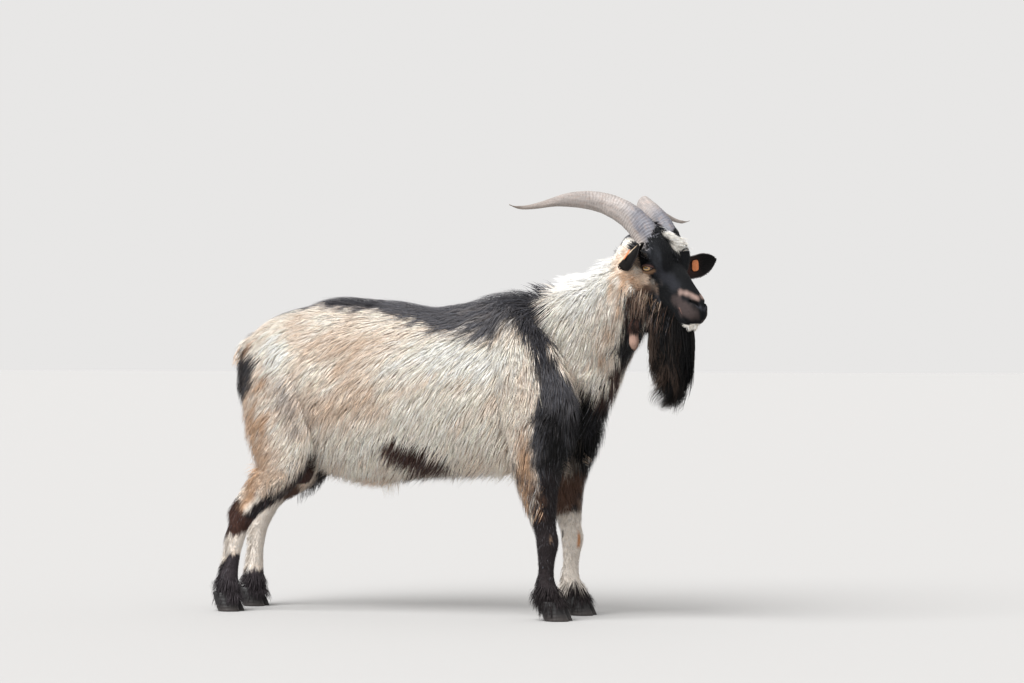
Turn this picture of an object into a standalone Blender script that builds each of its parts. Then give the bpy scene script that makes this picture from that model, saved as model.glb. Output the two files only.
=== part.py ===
"""A billy goat, life size, standing square on its hooves with its head turned to its right.

Every shape is a sweep of rings: the flesh with its coat, the horns, ears, beard, tail,
wattles and hooves. The flesh is fused to one smooth body and then parted by thin cuts.
A tag is pinned through each ear.
Metres, +X forward, +Y to the goat's left, +Z up, the floor at Z = 0.
"""

import math

import bmesh
import bpy
import numpy as np
from mathutils import Matrix, Vector

# ---- driving dimensions ------------------------------------------------------------------

GAP = 0.0003            # between parts that meet
SOCKET_GAP = 0.0006     # round what is let into the flesh
FORE_STANCE_X = 0.405   # where the cannons stand, from the middle of the stance
HIND_STANCE_X = -0.420
HIND_LAG = 0.010        # the left hind foot stands that far behind the right one
FORE_STANCE_Y = 0.090
HIND_STANCE_Y = 0.085

HEAD_YAW = math.radians(-25)     # turned to the goat's right
HEAD_PITCH = math.radians(38)    # nose below the level
HEAD_ROLL = math.radians(-2)
POLL = Vector((0.619, -0.054, 0.890))

EYE_RADIUS = 0.0145
HORN_LENGTH = 0.418
HORN_DEPTH = 0.0375     # half, at the root, front to back
HORN_THICKNESS = 0.024  # half, at the root, side to side
EAR_LENGTH = 0.156
TAG_WIDTH = 0.018       # along the ear
TAG_HEIGHT = 0.027      # across it
TAG_THICKNESS = 0.0018  # of each of its two plates
TAG_PIN = 0.0025        # its radius

CLAW_OFFSET = 0.0135    # from the middle of the foot
CLAW_WIDTH = 0.033
CLAW_HEIGHT = 0.044

FINE_VOXEL = 0.0042
LIMB_VOXEL = 0.0050
BODY_VOXEL = 0.0062
HEAD_TRIANGLES = 2050   # these three before the cuts take much of it off
LIMB_TRIANGLES = 3000
BODY_TRIANGLES = 2150

# ---- the head's own axes -----------------------------------------------------------------

HEAD_TURN = (
    Matrix.Rotation(HEAD_YAW, 3, "Z")
    @ Matrix.Rotation(HEAD_PITCH, 3, "Y")
    @ Matrix.Rotation(HEAD_ROLL, 3, "X")
)
LEVEL_TURN = Matrix.Rotation(HEAD_YAW, 3, "Z")


def on_head(along, left, above):
    """A point of the head: along the face from the poll, to the goat's left, above the axis."""
    return POLL + HEAD_TURN @ Vector((along, left, above))


def level_with_head(forward, left, up):
    """A direction in the head's heading, with up left upright."""
    return LEVEL_TURN @ Vector((forward, left, up))


# ---- ring tables -------------------------------------------------------------------------
# Each row is a ring: its centre, its half width, how far it rises above (in front of) the
# centre, how far it drops below (behind) it, and the coat's depth at the side, above, below.

TRUNK = [
    # x, y, z, half width, rise, drop, coat side, coat above, coat below
    (-0.408, 0, 0.620, 0.018, 0.025, 0.035, 0.006, 0.006, 0.008),
    (-0.392, 0, 0.615, 0.060, 0.065, 0.085, 0.012, 0.010, 0.014),
    (-0.355, 0, 0.605, 0.092, 0.108, 0.120, 0.016, 0.014, 0.018),
    (-0.300, 0, 0.590, 0.112, 0.146, 0.145, 0.020, 0.018, 0.020),
    (-0.235, 0, 0.572, 0.124, 0.181, 0.170, 0.022, 0.020, 0.022),
    (-0.170, 0, 0.560, 0.130, 0.198, 0.185, 0.022, 0.020, 0.028),
    (-0.090, 0, 0.550, 0.138, 0.202, 0.200, 0.022, 0.020, 0.032),
    (0.000, 0, 0.542, 0.146, 0.202, 0.196, 0.022, 0.020, 0.030),
    (0.100, 0, 0.540, 0.144, 0.193, 0.184, 0.022, 0.020, 0.030),
    (0.200, 0, 0.545, 0.132, 0.201, 0.180, 0.024, 0.020, 0.032),
    (0.290, 0, 0.552, 0.116, 0.214, 0.176, 0.026, 0.022, 0.036),
    (0.360, 0, 0.552, 0.102, 0.200, 0.170, 0.028, 0.024, 0.036),
    (0.415, 0, 0.545, 0.086, 0.150, 0.162, 0.028, 0.026, 0.036),
    (0.455, 0, 0.530, 0.064, 0.105, 0.130, 0.028, 0.026, 0.038),
    (0.485, 0, 0.510, 0.040, 0.060, 0.085, 0.024, 0.022, 0.034),
    (0.502, 0, 0.495, 0.014, 0.025, 0.040, 0.016, 0.018, 0.024),
]

NECK = [
    (0.330, 0.000, 0.610, 0.070, 0.120, 0.140, 0.024, 0.030, 0.030),
    (0.400, 0.000, 0.628, 0.074, 0.136, 0.150, 0.026, 0.034, 0.034),
    (0.462, -0.007, 0.655, 0.073, 0.130, 0.136, 0.028, 0.036, 0.034),
    (0.520, -0.020, 0.690, 0.069, 0.118, 0.088, 0.028, 0.036, 0.028),
    (0.568, -0.035, 0.730, 0.064, 0.104, 0.066, 0.026, 0.030, 0.022),
    (0.606, -0.050, 0.778, 0.058, 0.090, 0.064, 0.020, 0.024, 0.018),
    (0.636, -0.062, 0.825, 0.050, 0.066, 0.058, 0.010, 0.018, 0.012),
    (0.652, -0.068, 0.860, 0.036, 0.035, 0.036, 0.006, 0.010, 0.006),
]

# along, left, above, then as before, in the head's own axes
HEAD = [
    (-0.032, 0, -0.012, 0.030, 0.030, 0.046, 0.004, 0.004, 0.006),
    (-0.012, 0, -0.012, 0.048, 0.050, 0.082, 0.006, 0.005, 0.012),
    (0.015, 0, -0.014, 0.057, 0.060, 0.096, 0.007, 0.005, 0.014),
    (0.045, 0, -0.015, 0.061, 0.066, 0.090, 0.007, 0.005, 0.014),
    (0.075, 0, -0.016, 0.060, 0.064, 0.078, 0.006, 0.004, 0.014),
    (0.105, 0, -0.018, 0.054, 0.057, 0.066, 0.005, 0.004, 0.012),
    (0.135, 0, -0.020, 0.046, 0.052, 0.055, 0.005, 0.003, 0.010),
    (0.165, 0, -0.022, 0.039, 0.049, 0.049, 0.004, 0.003, 0.008),
    (0.195, 0, -0.023, 0.034, 0.045, 0.045, 0.003, 0.002, 0.006),
    (0.222, 0, -0.023, 0.033, 0.040, 0.044, 0.002, 0.002, 0.005),
    (0.244, 0, -0.024, 0.031, 0.032, 0.041, 0.002, 0.002, 0.004),
    (0.260, 0, -0.025, 0.024, 0.019, 0.031, 0.002, 0.002, 0.003),
    (0.267, 0, -0.026, 0.010, 0.008, 0.014, 0.002, 0.002, 0.002),
]

# the bony rim over each eye
BROW = [
    (0.062, 0.038, 0.012, 0.012, 0.012, 0.012, 0.003, 0.003, 0.003),
    (0.082, 0.043, 0.018, 0.016, 0.015, 0.013, 0.003, 0.003, 0.003),
    (0.104, 0.042, 0.016, 0.016, 0.014, 0.013, 0.003, 0.003, 0.003),
    (0.124, 0.035, 0.006, 0.010, 0.010, 0.010, 0.003, 0.003, 0.003),
]

# each ear: its root, the way it points, the way its hollow faces, its bow up its width, and
# how far along it its tag is
EARS = [
    ("left", on_head(0.050, 0.063, -0.041), level_with_head(0.29, 0.95, 0.17),
     level_with_head(1, -0.2, -0.15), -0.004, 0.60),
    ("right", on_head(0.024, -0.052, -0.050), level_with_head(0.85, -0.46, 0.26),
     level_with_head(0.50, 0.62, -0.48), 0.0, 0.44),
]

# the hair that stands between the horns
POLL_HAIR = [
    (-0.012, 0, 0.030, 0.022, 0.022, 0.022, 0, 0, 0),
    (0.014, 0, 0.044, 0.032, 0.036, 0.030, 0, 0, 0),
    (0.042, 0, 0.048, 0.036, 0.045, 0.030, 0, 0, 0),
    (0.072, 0, 0.048, 0.038, 0.043, 0.034, 0, 0, 0),
    (0.098, 0, 0.040, 0.034, 0.034, 0.034, 0, 0, 0),
    (0.120, 0, 0.026, 0.020, 0.018, 0.020, 0, 0, 0),
]

# from the shoulder blade down to the coronet, on the goat's left
FORE_LEG = [
    (0.262, 0.038, 0.735, 0.020, 0.030, 0.030, 0.020, 0.018, 0.018),
    (0.300, 0.062, 0.680, 0.036, 0.062, 0.060, 0.022, 0.020, 0.020),
    (0.350, 0.082, 0.600, 0.044, 0.082, 0.082, 0.024, 0.024, 0.022),
    (0.388, 0.096, 0.520, 0.048, 0.080, 0.090, 0.024, 0.026, 0.022),
    (0.396, 0.102, 0.450, 0.046, 0.070, 0.080, 0.022, 0.026, 0.024),
    (0.388, 0.100, 0.385, 0.041, 0.054, 0.062, 0.020, 0.022, 0.024),
    (0.386, 0.096, 0.325, 0.034, 0.041, 0.043, 0.016, 0.016, 0.022),
    (0.393, 0.093, 0.265, 0.027, 0.030, 0.031, 0.010, 0.010, 0.014),
    (0.400, 0.091, 0.215, 0.0235, 0.0255, 0.025, 0.006, 0.006, 0.007),
    (0.404, 0.090, 0.182, 0.0250, 0.0270, 0.025, 0.005, 0.005, 0.006),
    (0.403, 0.090, 0.150, 0.0195, 0.0210, 0.021, 0.005, 0.005, 0.006),
    (0.402, 0.090, 0.115, 0.0165, 0.0175, 0.019, 0.005, 0.005, 0.006),
    (0.403, 0.090, 0.088, 0.0190, 0.0195, 0.022, 0.005, 0.005, 0.008),
    (0.406, 0.090, 0.069, 0.0245, 0.0240, 0.026, 0.004, 0.004, 0.010),
    (0.414, 0.090, 0.050, 0.0235, 0.0220, 0.024, 0.003, 0.003, 0.006),
    (0.420, 0.090, 0.036, 0.0260, 0.0270, 0.027, 0.001, 0.001, 0.001),
]

# from the croup to the stifle, on the goat's left, and on down to each coronet
THIGH = [
    (-0.235, 0.045, 0.690, 0.030, 0.050, 0.050, 0.020, 0.018, 0.016),
    (-0.255, 0.070, 0.630, 0.048, 0.085, 0.082, 0.022, 0.020, 0.018),
    (-0.272, 0.086, 0.555, 0.052, 0.098, 0.094, 0.022, 0.020, 0.020),
    (-0.272, 0.094, 0.480, 0.049, 0.092, 0.086, 0.020, 0.020, 0.024),
    (-0.264, 0.098, 0.415, 0.041, 0.068, 0.074, 0.018, 0.018, 0.026),
]
SHANK_RIGHT = [
    (-0.274, 0.096, 0.355, 0.034, 0.047, 0.050, 0.014, 0.016, 0.020),
    (-0.309, 0.093, 0.305, 0.027, 0.033, 0.036, 0.010, 0.012, 0.016),
    (-0.352, 0.090, 0.262, 0.0225, 0.025, 0.028, 0.007, 0.008, 0.012),
    (-0.386, 0.088, 0.224, 0.0235, 0.025, 0.029, 0.005, 0.004, 0.008),
    (-0.397, 0.086, 0.188, 0.0190, 0.020, 0.023, 0.005, 0.004, 0.010),
    (-0.407, 0.085, 0.145, 0.0160, 0.016, 0.018, 0.005, 0.004, 0.014),
    (-0.416, 0.085, 0.104, 0.0180, 0.018, 0.020, 0.005, 0.004, 0.008),
    (-0.421, 0.085, 0.076, 0.0235, 0.022, 0.024, 0.004, 0.004, 0.010),
    (-0.421, 0.085, 0.053, 0.0230, 0.022, 0.024, 0.003, 0.003, 0.007),
    (-0.419, 0.085, 0.037, 0.0255, 0.026, 0.026, 0.001, 0.001, 0.001),
]
SHANK_LEFT = [
    (-0.288, 0.096, 0.355, 0.034, 0.047, 0.050, 0.014, 0.014, 0.016),
    (-0.332, 0.093, 0.312, 0.027, 0.032, 0.034, 0.010, 0.010, 0.012),
    (-0.379, 0.090, 0.270, 0.0225, 0.024, 0.026, 0.007, 0.006, 0.010),
    (-0.408, 0.088, 0.224, 0.0235, 0.023, 0.027, 0.005, 0.004, 0.007),
    (-0.417, 0.086, 0.188, 0.0190, 0.018, 0.021, 0.005, 0.004, 0.006),
    (-0.422, 0.085, 0.145, 0.0160, 0.015, 0.017, 0.005, 0.004, 0.006),
    (-0.426, 0.085, 0.104, 0.0180, 0.018, 0.020, 0.005, 0.004, 0.006),
    (-0.429, 0.085, 0.076, 0.0235, 0.022, 0.024, 0.004, 0.004, 0.010),
    (-0.429, 0.085, 0.053, 0.0230, 0.022, 0.024, 0.003, 0.003, 0.007),
    (-0.427, 0.085, 0.037, 0.0255, 0.026, 0.026, 0.001, 0.001, 0.001),
]

# the tendon from the gaskin to the point of the hock
TENDON_RIGHT = [
    (-0.322, 0.094, 0.352, 0.014, 0.014, 0.014, 0.008, 0.008, 0.010),
    (-0.364, 0.091, 0.298, 0.0105, 0.011, 0.011, 0.006, 0.006, 0.010),
    (-0.397, 0.089, 0.254, 0.0115, 0.013, 0.012, 0.005, 0.005, 0.008),
    (-0.405, 0.088, 0.236, 0.0140, 0.015, 0.014, 0.005, 0.005, 0.006),
    (-0.402, 0.087, 0.205, 0.0140, 0.015, 0.012, 0.005, 0.005, 0.006),
]
TENDON_LEFT = [
    (-0.336, 0.094, 0.356, 0.014, 0.014, 0.014, 0.008, 0.008, 0.010),
    (-0.384, 0.091, 0.304, 0.0105, 0.011, 0.011, 0.006, 0.006, 0.008),
    (-0.418, 0.089, 0.258, 0.0115, 0.013, 0.012, 0.005, 0.005, 0.006),
    (-0.426, 0.088, 0.238, 0.0140, 0.015, 0.013, 0.005, 0.005, 0.006),
    (-0.421, 0.087, 0.205, 0.0140, 0.015, 0.012, 0.005, 0.005, 0.006),
]

# the sheath on the belly, and the scrotum between the thighs
SHEATH = [
    (-0.150, 0, 0.372, 0.020, 0.020, 0.018, 0.010, 0.010, 0.012),
    (-0.100, 0, 0.358, 0.028, 0.026, 0.022, 0.012, 0.010, 0.018),
    (-0.050, 0, 0.350, 0.028, 0.026, 0.024, 0.012, 0.010, 0.020),
    (-0.010, 0, 0.350, 0.018, 0.020, 0.018, 0.010, 0.010, 0.018),
]
SCROTUM = [
    (-0.262, 0, 0.430, 0.024, 0.020, 0.020, 0.008, 0.008, 0.008),
    (-0.266, 0, 0.385, 0.034, 0.026, 0.026, 0.008, 0.008, 0.008),
    (-0.268, 0, 0.340, 0.038, 0.030, 0.030, 0.008, 0.008, 0.008),
    (-0.266, 0, 0.312, 0.022, 0.018, 0.018, 0.008, 0.008, 0.008),
]

# the tail hangs from the croup
TAIL = [
    (-0.345, 0, 0.672, 0.020, 0.012, 0.020, 0, 0, 0),
    (-0.380, 0, 0.668, 0.028, 0.018, 0.024, 0, 0, 0),
    (-0.408, 0, 0.652, 0.036, 0.024, 0.028, 0, 0, 0),
    (-0.420, 0, 0.622, 0.038, 0.026, 0.028, 0, 0, 0),
    (-0.415, 0, 0.580, 0.033, 0.024, 0.024, 0, 0, 0),
    (-0.409, 0, 0.540, 0.022, 0.018, 0.016, 0, 0, 0),
    (-0.406, 0, 0.505, 0.006, 0.004, 0.004, 0, 0, 0),
]

# the beard hangs from the chin and the jaw: metres forward, left and up from the chin
BEARD_ROOT = on_head(0.195, 0.0, -0.045)
BEARD = [
    (-0.018, 0, 0.022, 0.030, 0.050, 0.060, 0, 0, 0),
    (-0.018, 0, -0.020, 0.034, 0.050, 0.066, 0, 0, 0),
    (-0.014, 0, -0.070, 0.034, 0.052, 0.074, 0, 0, 0),
    (-0.012, 0, -0.120, 0.033, 0.048, 0.074, 0, 0, 0),
    (-0.008, 0, -0.160, 0.031, 0.040, 0.060, 0, 0, 0),
    (-0.010, 0, -0.195, 0.024, 0.026, 0.044, 0, 0, 0),
    (-0.020, 0, -0.220, 0.014, 0.016, 0.026, 0, 0, 0),
    (-0.026, 0, -0.236, 0.004, 0.004, 0.006, 0, 0, 0),
]

# a wattle hangs from each side of the throat
WATTLE_ROOT = Vector((0.652, -0.058, 0.700))
WATTLE = [
    (0.000, 0.040, 0.020, 0.008, 0.008, 0.008, 0, 0, 0),
    (0.000, 0.054, 0.002, 0.009, 0.010, 0.010, 0, 0, 0),
    (0.001, 0.062, -0.022, 0.011, 0.012, 0.012, 0, 0, 0),
    (0.002, 0.063, -0.046, 0.012, 0.014, 0.014, 0, 0, 0),
    (0.002, 0.062, -0.062, 0.006, 0.007, 0.007, 0, 0, 0),
]

# ---- colours -----------------------------------------------------------------------------

COLOURS = {
    "cream_coat": ((0.62, 0.50, 0.40), 0.75),
    "black_coat": ((0.035, 0.033, 0.036), 0.65),
    "horn": ((0.36, 0.31, 0.28), 0.5),
    "hoof": ((0.05, 0.045, 0.045), 0.4),
    "amber_eye": ((0.55, 0.30, 0.08), 0.15),
    "ear_tag": ((0.80, 0.42, 0.16), 0.45),
}


def material(name):
    """A Principled material by its name in COLOURS."""
    made = bpy.data.materials.get(name)
    if made is None:
        colour, roughness = COLOURS[name]
        made = bpy.data.materials.new(name)
        made.use_nodes = True
        shader = made.node_tree.nodes["Principled BSDF"]
        shader.inputs["Base Color"].default_value = (*colour, 1)
        shader.inputs["Roughness"].default_value = roughness
        made.diffuse_color = (*colour, 1)
    return made


# ---- sweeps ------------------------------------------------------------------------------


def smoothed(rows, steps):
    """Catmull-Rom through the rows of a table, with that many steps in each span."""
    table = np.asarray(rows, float)
    padded = np.vstack([2 * table[0] - table[1], table, 2 * table[-1] - table[-2]])
    t = np.linspace(0, 1, steps, endpoint=False)[:, None]
    spans = []
    for a, b, c, d in zip(padded, padded[1:], padded[2:], padded[3:]):
        spans.append(
            0.5 * (2 * b + (c - a) * t + (2 * a - 5 * b + 4 * c - d) * t**2
                   + (3 * b - a - 3 * c + d) * t**3)
        )
    return np.vstack([*spans, table[-1:]])


def ring_points(centres, side, half_width, rise, drop, sides, squareness=2.0):
    """Oval rings across a path. side is the direction of each ring's half width."""
    tangent = np.gradient(centres, axis=0)
    tangent /= np.linalg.norm(tangent, axis=1, keepdims=True)
    side = side - tangent * (side * tangent).sum(1, keepdims=True)
    side /= np.linalg.norm(side, axis=1, keepdims=True)
    up = np.cross(tangent, side)
    angle = np.linspace(0, 2 * math.pi, sides, endpoint=False)
    across = np.sign(np.cos(angle)) * np.abs(np.cos(angle)) ** (2 / squareness)
    above = np.sign(np.sin(angle)) * np.abs(np.sin(angle)) ** (2 / squareness)
    height = np.where(above > 0, above * rise[:, None], above * drop[:, None])
    return (
        centres[:, None]
        + side[:, None] * (half_width[:, None] * across)[..., None]
        + up[:, None] * height[..., None]
    )


def tube(points):
    """Vertices and faces of rings joined to a closed tube with flat ends."""
    rings, sides = points.shape[:2]
    index = np.arange(rings * sides).reshape(rings, sides)
    turned = np.roll(index, -1, axis=1)
    quads = np.stack([index[:-1], turned[:-1], turned[1:], index[1:]], axis=-1).reshape(-1, 4)
    ends = [index[0].tolist(), index[-1][::-1].tolist()]
    return points.reshape(-1, 3), quads[:, ::-1].tolist() + ends


def new_object(name, vertices, faces, coat=None):
    """An object with outward faces, smooth shading and a material."""
    mesh = bpy.data.meshes.new(name)
    mesh.from_pydata([tuple(v) for v in vertices], [], faces)
    made = bmesh.new()
    made.from_mesh(mesh)
    bmesh.ops.recalc_face_normals(made, faces=made.faces)
    made.to_mesh(mesh)
    made.free()
    mesh.shade_smooth()
    obj = bpy.data.objects.new(name, mesh)
    bpy.context.scene.collection.objects.link(obj)
    if coat:
        mesh.materials.append(material(coat))
    return obj


def sweep(name, rows, place=None, flip=1, steps=5, sides=28, squareness=2.0, coat=None):
    """A ring table as a closed solid, its coat included. flip = -1 mirrors it to the right."""
    table = smoothed(rows, steps)
    centres = table[:, :3] * (1, flip, 1)
    side = np.tile((0.0, 1.0, 0.0), (len(centres), 1))
    if place is not None:
        centres = np.array([place(*c) for c in centres])
        side = np.tile(np.asarray(place(0, 1, 0) - place(0, 0, 0)), (len(centres), 1))
    half_width = table[:, 3] + table[:, 6]
    rise = table[:, 4] + table[:, 7]
    drop = table[:, 5] + table[:, 8]
    points = ring_points(centres, side, half_width, rise, drop, sides, squareness)
    return new_object(name, *tube(points), coat)


# ---- operations --------------------------------------------------------------------------


def applied(obj):
    """The object with its modifiers worked into its mesh."""
    bpy.context.view_layer.update()
    graph = bpy.context.evaluated_depsgraph_get()
    mesh = bpy.data.meshes.new_from_object(obj.evaluated_get(graph))
    old = obj.data
    obj.modifiers.clear()
    obj.data = mesh
    bpy.data.meshes.remove(old)
    return obj


def removed(*objects):
    for obj in objects:
        bpy.data.objects.remove(obj)


def fused(name, parts, voxel, triangles):
    """The parts as one smooth closed body of about that many triangles."""
    mesh = bpy.data.meshes.new(name)
    both = bmesh.new()
    for part in parts:
        both.from_mesh(part.data)
    both.to_mesh(mesh)
    both.free()
    removed(*parts)
    obj = bpy.data.objects.new(name, mesh)
    bpy.context.scene.collection.objects.link(obj)
    remesh = obj.modifiers.new("fuse", "REMESH")
    remesh.mode = "VOXEL"
    remesh.voxel_size = voxel
    relax = obj.modifiers.new("relax", "SMOOTH")
    relax.factor = 0.5
    relax.iterations = 8
    applied(obj)
    thin = obj.modifiers.new("thin", "DECIMATE")
    thin.ratio = triangles / (2 * len(obj.data.polygons))
    return applied(obj)


def boolean(obj, other, operation):
    """obj with the other cut off, or kept only inside it."""
    step = obj.modifiers.new(operation.lower(), "BOOLEAN")
    step.operation = operation
    step.object = other
    return applied(obj)


def swollen(obj, by):
    """A copy of the object, grown along its normals, to cut with."""
    copy = obj.copy()
    copy.data = obj.data.copy()
    bpy.context.scene.collection.objects.link(copy)
    grow = copy.modifiers.new("grow", "DISPLACE")
    grow.strength = by
    grow.mid_level = 0
    return applied(copy)


def copied(obj, name):
    copy = obj.copy()
    copy.data = obj.data.copy()
    copy.name = name
    bpy.context.scene.collection.objects.link(copy)
    return copy


def block(point, normal, reach=3.0, low=None, high=None):
    """A cutter: everything on the normal's side of a plane, or within a box of low and high."""
    made = bmesh.new()
    bmesh.ops.create_cube(made, size=1)
    if low is not None:
        size, middle = Vector(high) - Vector(low), (Vector(high) + Vector(low)) / 2
        place = Matrix.Translation(middle) @ Matrix.Diagonal((*size, 1))
    else:
        turn = Vector(normal).to_track_quat("Z", "Y").to_matrix().to_4x4()
        ahead = Matrix.Translation((0, 0, reach / 2)) @ Matrix.Scale(reach, 4)
        place = Matrix.Translation(point) @ turn @ ahead
    bmesh.ops.transform(made, matrix=place, verts=made.verts)
    mesh = bpy.data.meshes.new("cutter")
    made.to_mesh(mesh)
    made.free()
    obj = bpy.data.objects.new("cutter", mesh)
    bpy.context.scene.collection.objects.link(obj)
    return obj


def kept_side(obj, name, point, normal, coat):
    """The part of a body on one side of a plane, drawn back by half the gap."""
    normal = Vector(normal).normalized()
    part = copied(obj, name)
    cutter = block(Vector(point) + normal * GAP / 2, normal)
    boolean(part, cutter, "INTERSECT")
    removed(cutter)
    part.data.materials.clear()
    part.data.materials.append(material(coat))
    return part


# ---- the flesh and its coat --------------------------------------------------------------

NAPE_CUT = (Vector((0.618, -0.05, 0.880)), Vector((math.cos(0.35), -math.sin(0.35), 0.17)))
WITHERS_CUT = (Vector((0.376, 0, 0.806)), Vector((0.366, 0, 0.144)))
ELBOW_LEVEL = 0.322
STIFLE_FRONT_X = -0.150
THIGH_CUT = (Vector((STIFLE_FRONT_X, 0, 0.330)), Vector((-0.5, 0, -1)))


def head_parts():
    parts = [
        sweep("head", HEAD, place=on_head, squareness=2.2),
        sweep("poll", POLL_HAIR, place=on_head, sides=18),
    ]
    for flip in (1, -1):
        parts.append(sweep("brow", BROW, place=on_head, flip=flip, sides=16))
    return parts


def leg_parts():
    parts = []
    for flip in (1, -1):
        shank, tendon = (SHANK_LEFT, TENDON_LEFT) if flip > 0 else (SHANK_RIGHT, TENDON_RIGHT)
        parts.append(sweep("fore", FORE_LEG, flip=flip))
        parts.append(sweep("hind", THIGH + shank, flip=flip))
        parts.append(sweep("tendon", tendon, flip=flip, sides=16))
    return parts


def clear_scene():
    for obj in list(bpy.data.objects):
        bpy.data.objects.remove(obj)


def build_flesh():
    """The head, neck, trunk and legs, each meeting its neighbours across a thin cut."""
    fine = fused("fine", [*head_parts(), sweep("neck", NECK)], FINE_VOXEL, HEAD_TRIANGLES)
    limbs = fused("limbs", [sweep("trunk", TRUNK), *leg_parts()], LIMB_VOXEL, LIMB_TRIANGLES)
    whole = fused(
        "whole",
        [*head_parts(), sweep("neck", NECK), sweep("trunk", TRUNK), *leg_parts(),
         sweep("sheath", SHEATH, sides=16)],
        BODY_VOXEL,
        BODY_TRIANGLES,
    )
    nape, forward = NAPE_CUT
    withers, up_neck = WITHERS_CUT
    head = kept_side(fine, "head", nape, forward, "black_coat")
    rest = kept_side(whole, "rest", nape, -forward, "cream_coat")
    neck = kept_side(rest, "neck", withers, up_neck, "cream_coat")
    body = kept_side(rest, "body", withers, -up_neck, "cream_coat")

    legs = []
    thigh, below = THIGH_CUT
    for side, flip in (("left", 1), ("right", -1)):
        inner, outer = sorted((flip * GAP / 2, flip * 0.4))
        low, high = (0.20, inner, -0.1), (0.60, outer, ELBOW_LEVEL)
        fore_box = block(None, None, low=low, high=high)
        leg = boolean(copied(limbs, f"foreleg_{side}"), fore_box, "INTERSECT")
        removed(fore_box)
        legs.append(leg)
        hind_box = block(thigh - Vector((0, 0, GAP)), below)
        leg = boolean(copied(limbs, f"hindleg_{side}"), hind_box, "INTERSECT")
        removed(hind_box)
        side_box = block(None, None, low=(-0.8, inner, -0.1), high=(STIFLE_FRONT_X - GAP, outer, 0.7))
        boolean(leg, side_box, "INTERSECT")
        removed(side_box)
        legs.append(leg)

    fore_box = block(None, None, low=(0.20 - GAP, -0.4, -0.1), high=(0.60, 0.4, ELBOW_LEVEL + GAP))
    trunk = boolean(copied(body, "trunk"), fore_box, "DIFFERENCE")
    removed(fore_box)
    hind_box = block(thigh, below)
    side_box = block(None, None, low=(-0.8, -0.5, -0.2), high=(STIFLE_FRONT_X, 0.5, 0.7))
    boolean(hind_box, side_box, "INTERSECT")
    boolean(trunk, hind_box, "DIFFERENCE")
    removed(hind_box, side_box, rest, body, limbs)
    return fine, whole, head, neck, trunk, legs


# ---- what grows from the flesh -----------------------------------------------------------


def horn(side, flip, flesh):
    """A horn that rises back from the poll, turns outward and curls up at its tip.

    Its heading swings from straight back to sideways and its climb falls off, so the path is
    the running sum of those directions. Its section is an oval with its keel in front.
    """
    rings = 24
    t = np.linspace(0, 1, rings)
    swing = np.clip((t - 0.12) / 0.62, 0, 1)
    heading = np.radians(11 + 73 * swing**2 * (3 - 2 * swing))
    dip = np.sin(math.pi * np.clip((t - 0.33) / 0.72, 0, 1))
    climb = np.radians(61 * (1 - t) ** 2.6 - 16 * dip + 24 * t**14)
    level = np.cos(climb)
    steps = np.stack([-level * np.cos(heading), flip * level * np.sin(heading), np.sin(climb)], axis=1)
    run = np.cumsum(steps[:-1] + steps[1:], axis=0) / 2 * HORN_LENGTH / (rings - 1)
    path = np.vstack([[0, 0, 0], run])
    root = on_head(0.050, flip * 0.032, 0.037)
    turn = np.array(LEVEL_TURN @ Matrix.Rotation(HEAD_ROLL, 3, "X"))
    path = np.asarray(root) + path @ turn.T
    sunk = path[0] - (path[1] - path[0]) * 2.2
    path = np.vstack([sunk, path])
    taper = np.append(1.0, np.clip(1 - t, 0, 1) ** 0.87)
    taper[-1] = 0.05
    outward = np.tile(turn @ np.array([0, 1.0, 0]), (len(path), 1))
    depth = HORN_DEPTH * taper
    points = ring_points(path, outward, HORN_THICKNESS * taper, depth, 0.95 * depth, 12)
    obj = new_object(f"horn_{side}", *tube(points), "horn")
    cutter = swollen(flesh, SOCKET_GAP)
    boolean(obj, cutter, "DIFFERENCE")
    removed(cutter)
    return obj


def ear(side, root, along, opening, bow, flesh):
    """A leaf rolled about its length: tight at the root, open at the middle, pointed at the tip."""
    around, rings, thick = 7, 11, 0.0045
    along = Vector(along).normalized()
    opening = Vector(opening)
    opening = (opening - along * opening.dot(along)).normalized()
    across = opening.cross(along)
    u = np.linspace(0, 1, rings)
    swell = 0.115 * np.sin(math.pi * u**0.8) ** 0.9 * (1 - 0.15 * u)
    half_arc = EAR_LENGTH * (0.105 + swell) * (1 - u**7)
    half_arc[-1] = EAR_LENGTH * 0.03
    roll = 2.1 - 1.45 * u**0.55
    v = np.linspace(-1, 1, around)
    shells = []
    for shift in (0, 1):
        radius = half_arc / roll + shift * thick
        angle = roll[:, None] * v
        offset = np.stack(
            [
                radius[:, None] * np.sin(angle) + bow * np.sin(math.pi * u)[:, None],
                (half_arc / roll)[:, None] - radius[:, None] * np.cos(angle),
            ],
            -1,
        )
        length = np.broadcast_to((EAR_LENGTH * u)[:, None], angle.shape)
        shells.append(
            np.asarray(root)
            + length[..., None] * np.asarray(along)
            + offset[..., :1] * np.asarray(across)
            + offset[..., 1:] * np.asarray(opening)
        )
    ring = np.concatenate([shells[0], shells[1][:, ::-1]], axis=1)
    obj = new_object(f"ear_{side}", *tube(ring), "black_coat")
    cutter = swollen(flesh, SOCKET_GAP)
    boolean(obj, cutter, "DIFFERENCE")
    removed(cutter)
    return obj


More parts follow.
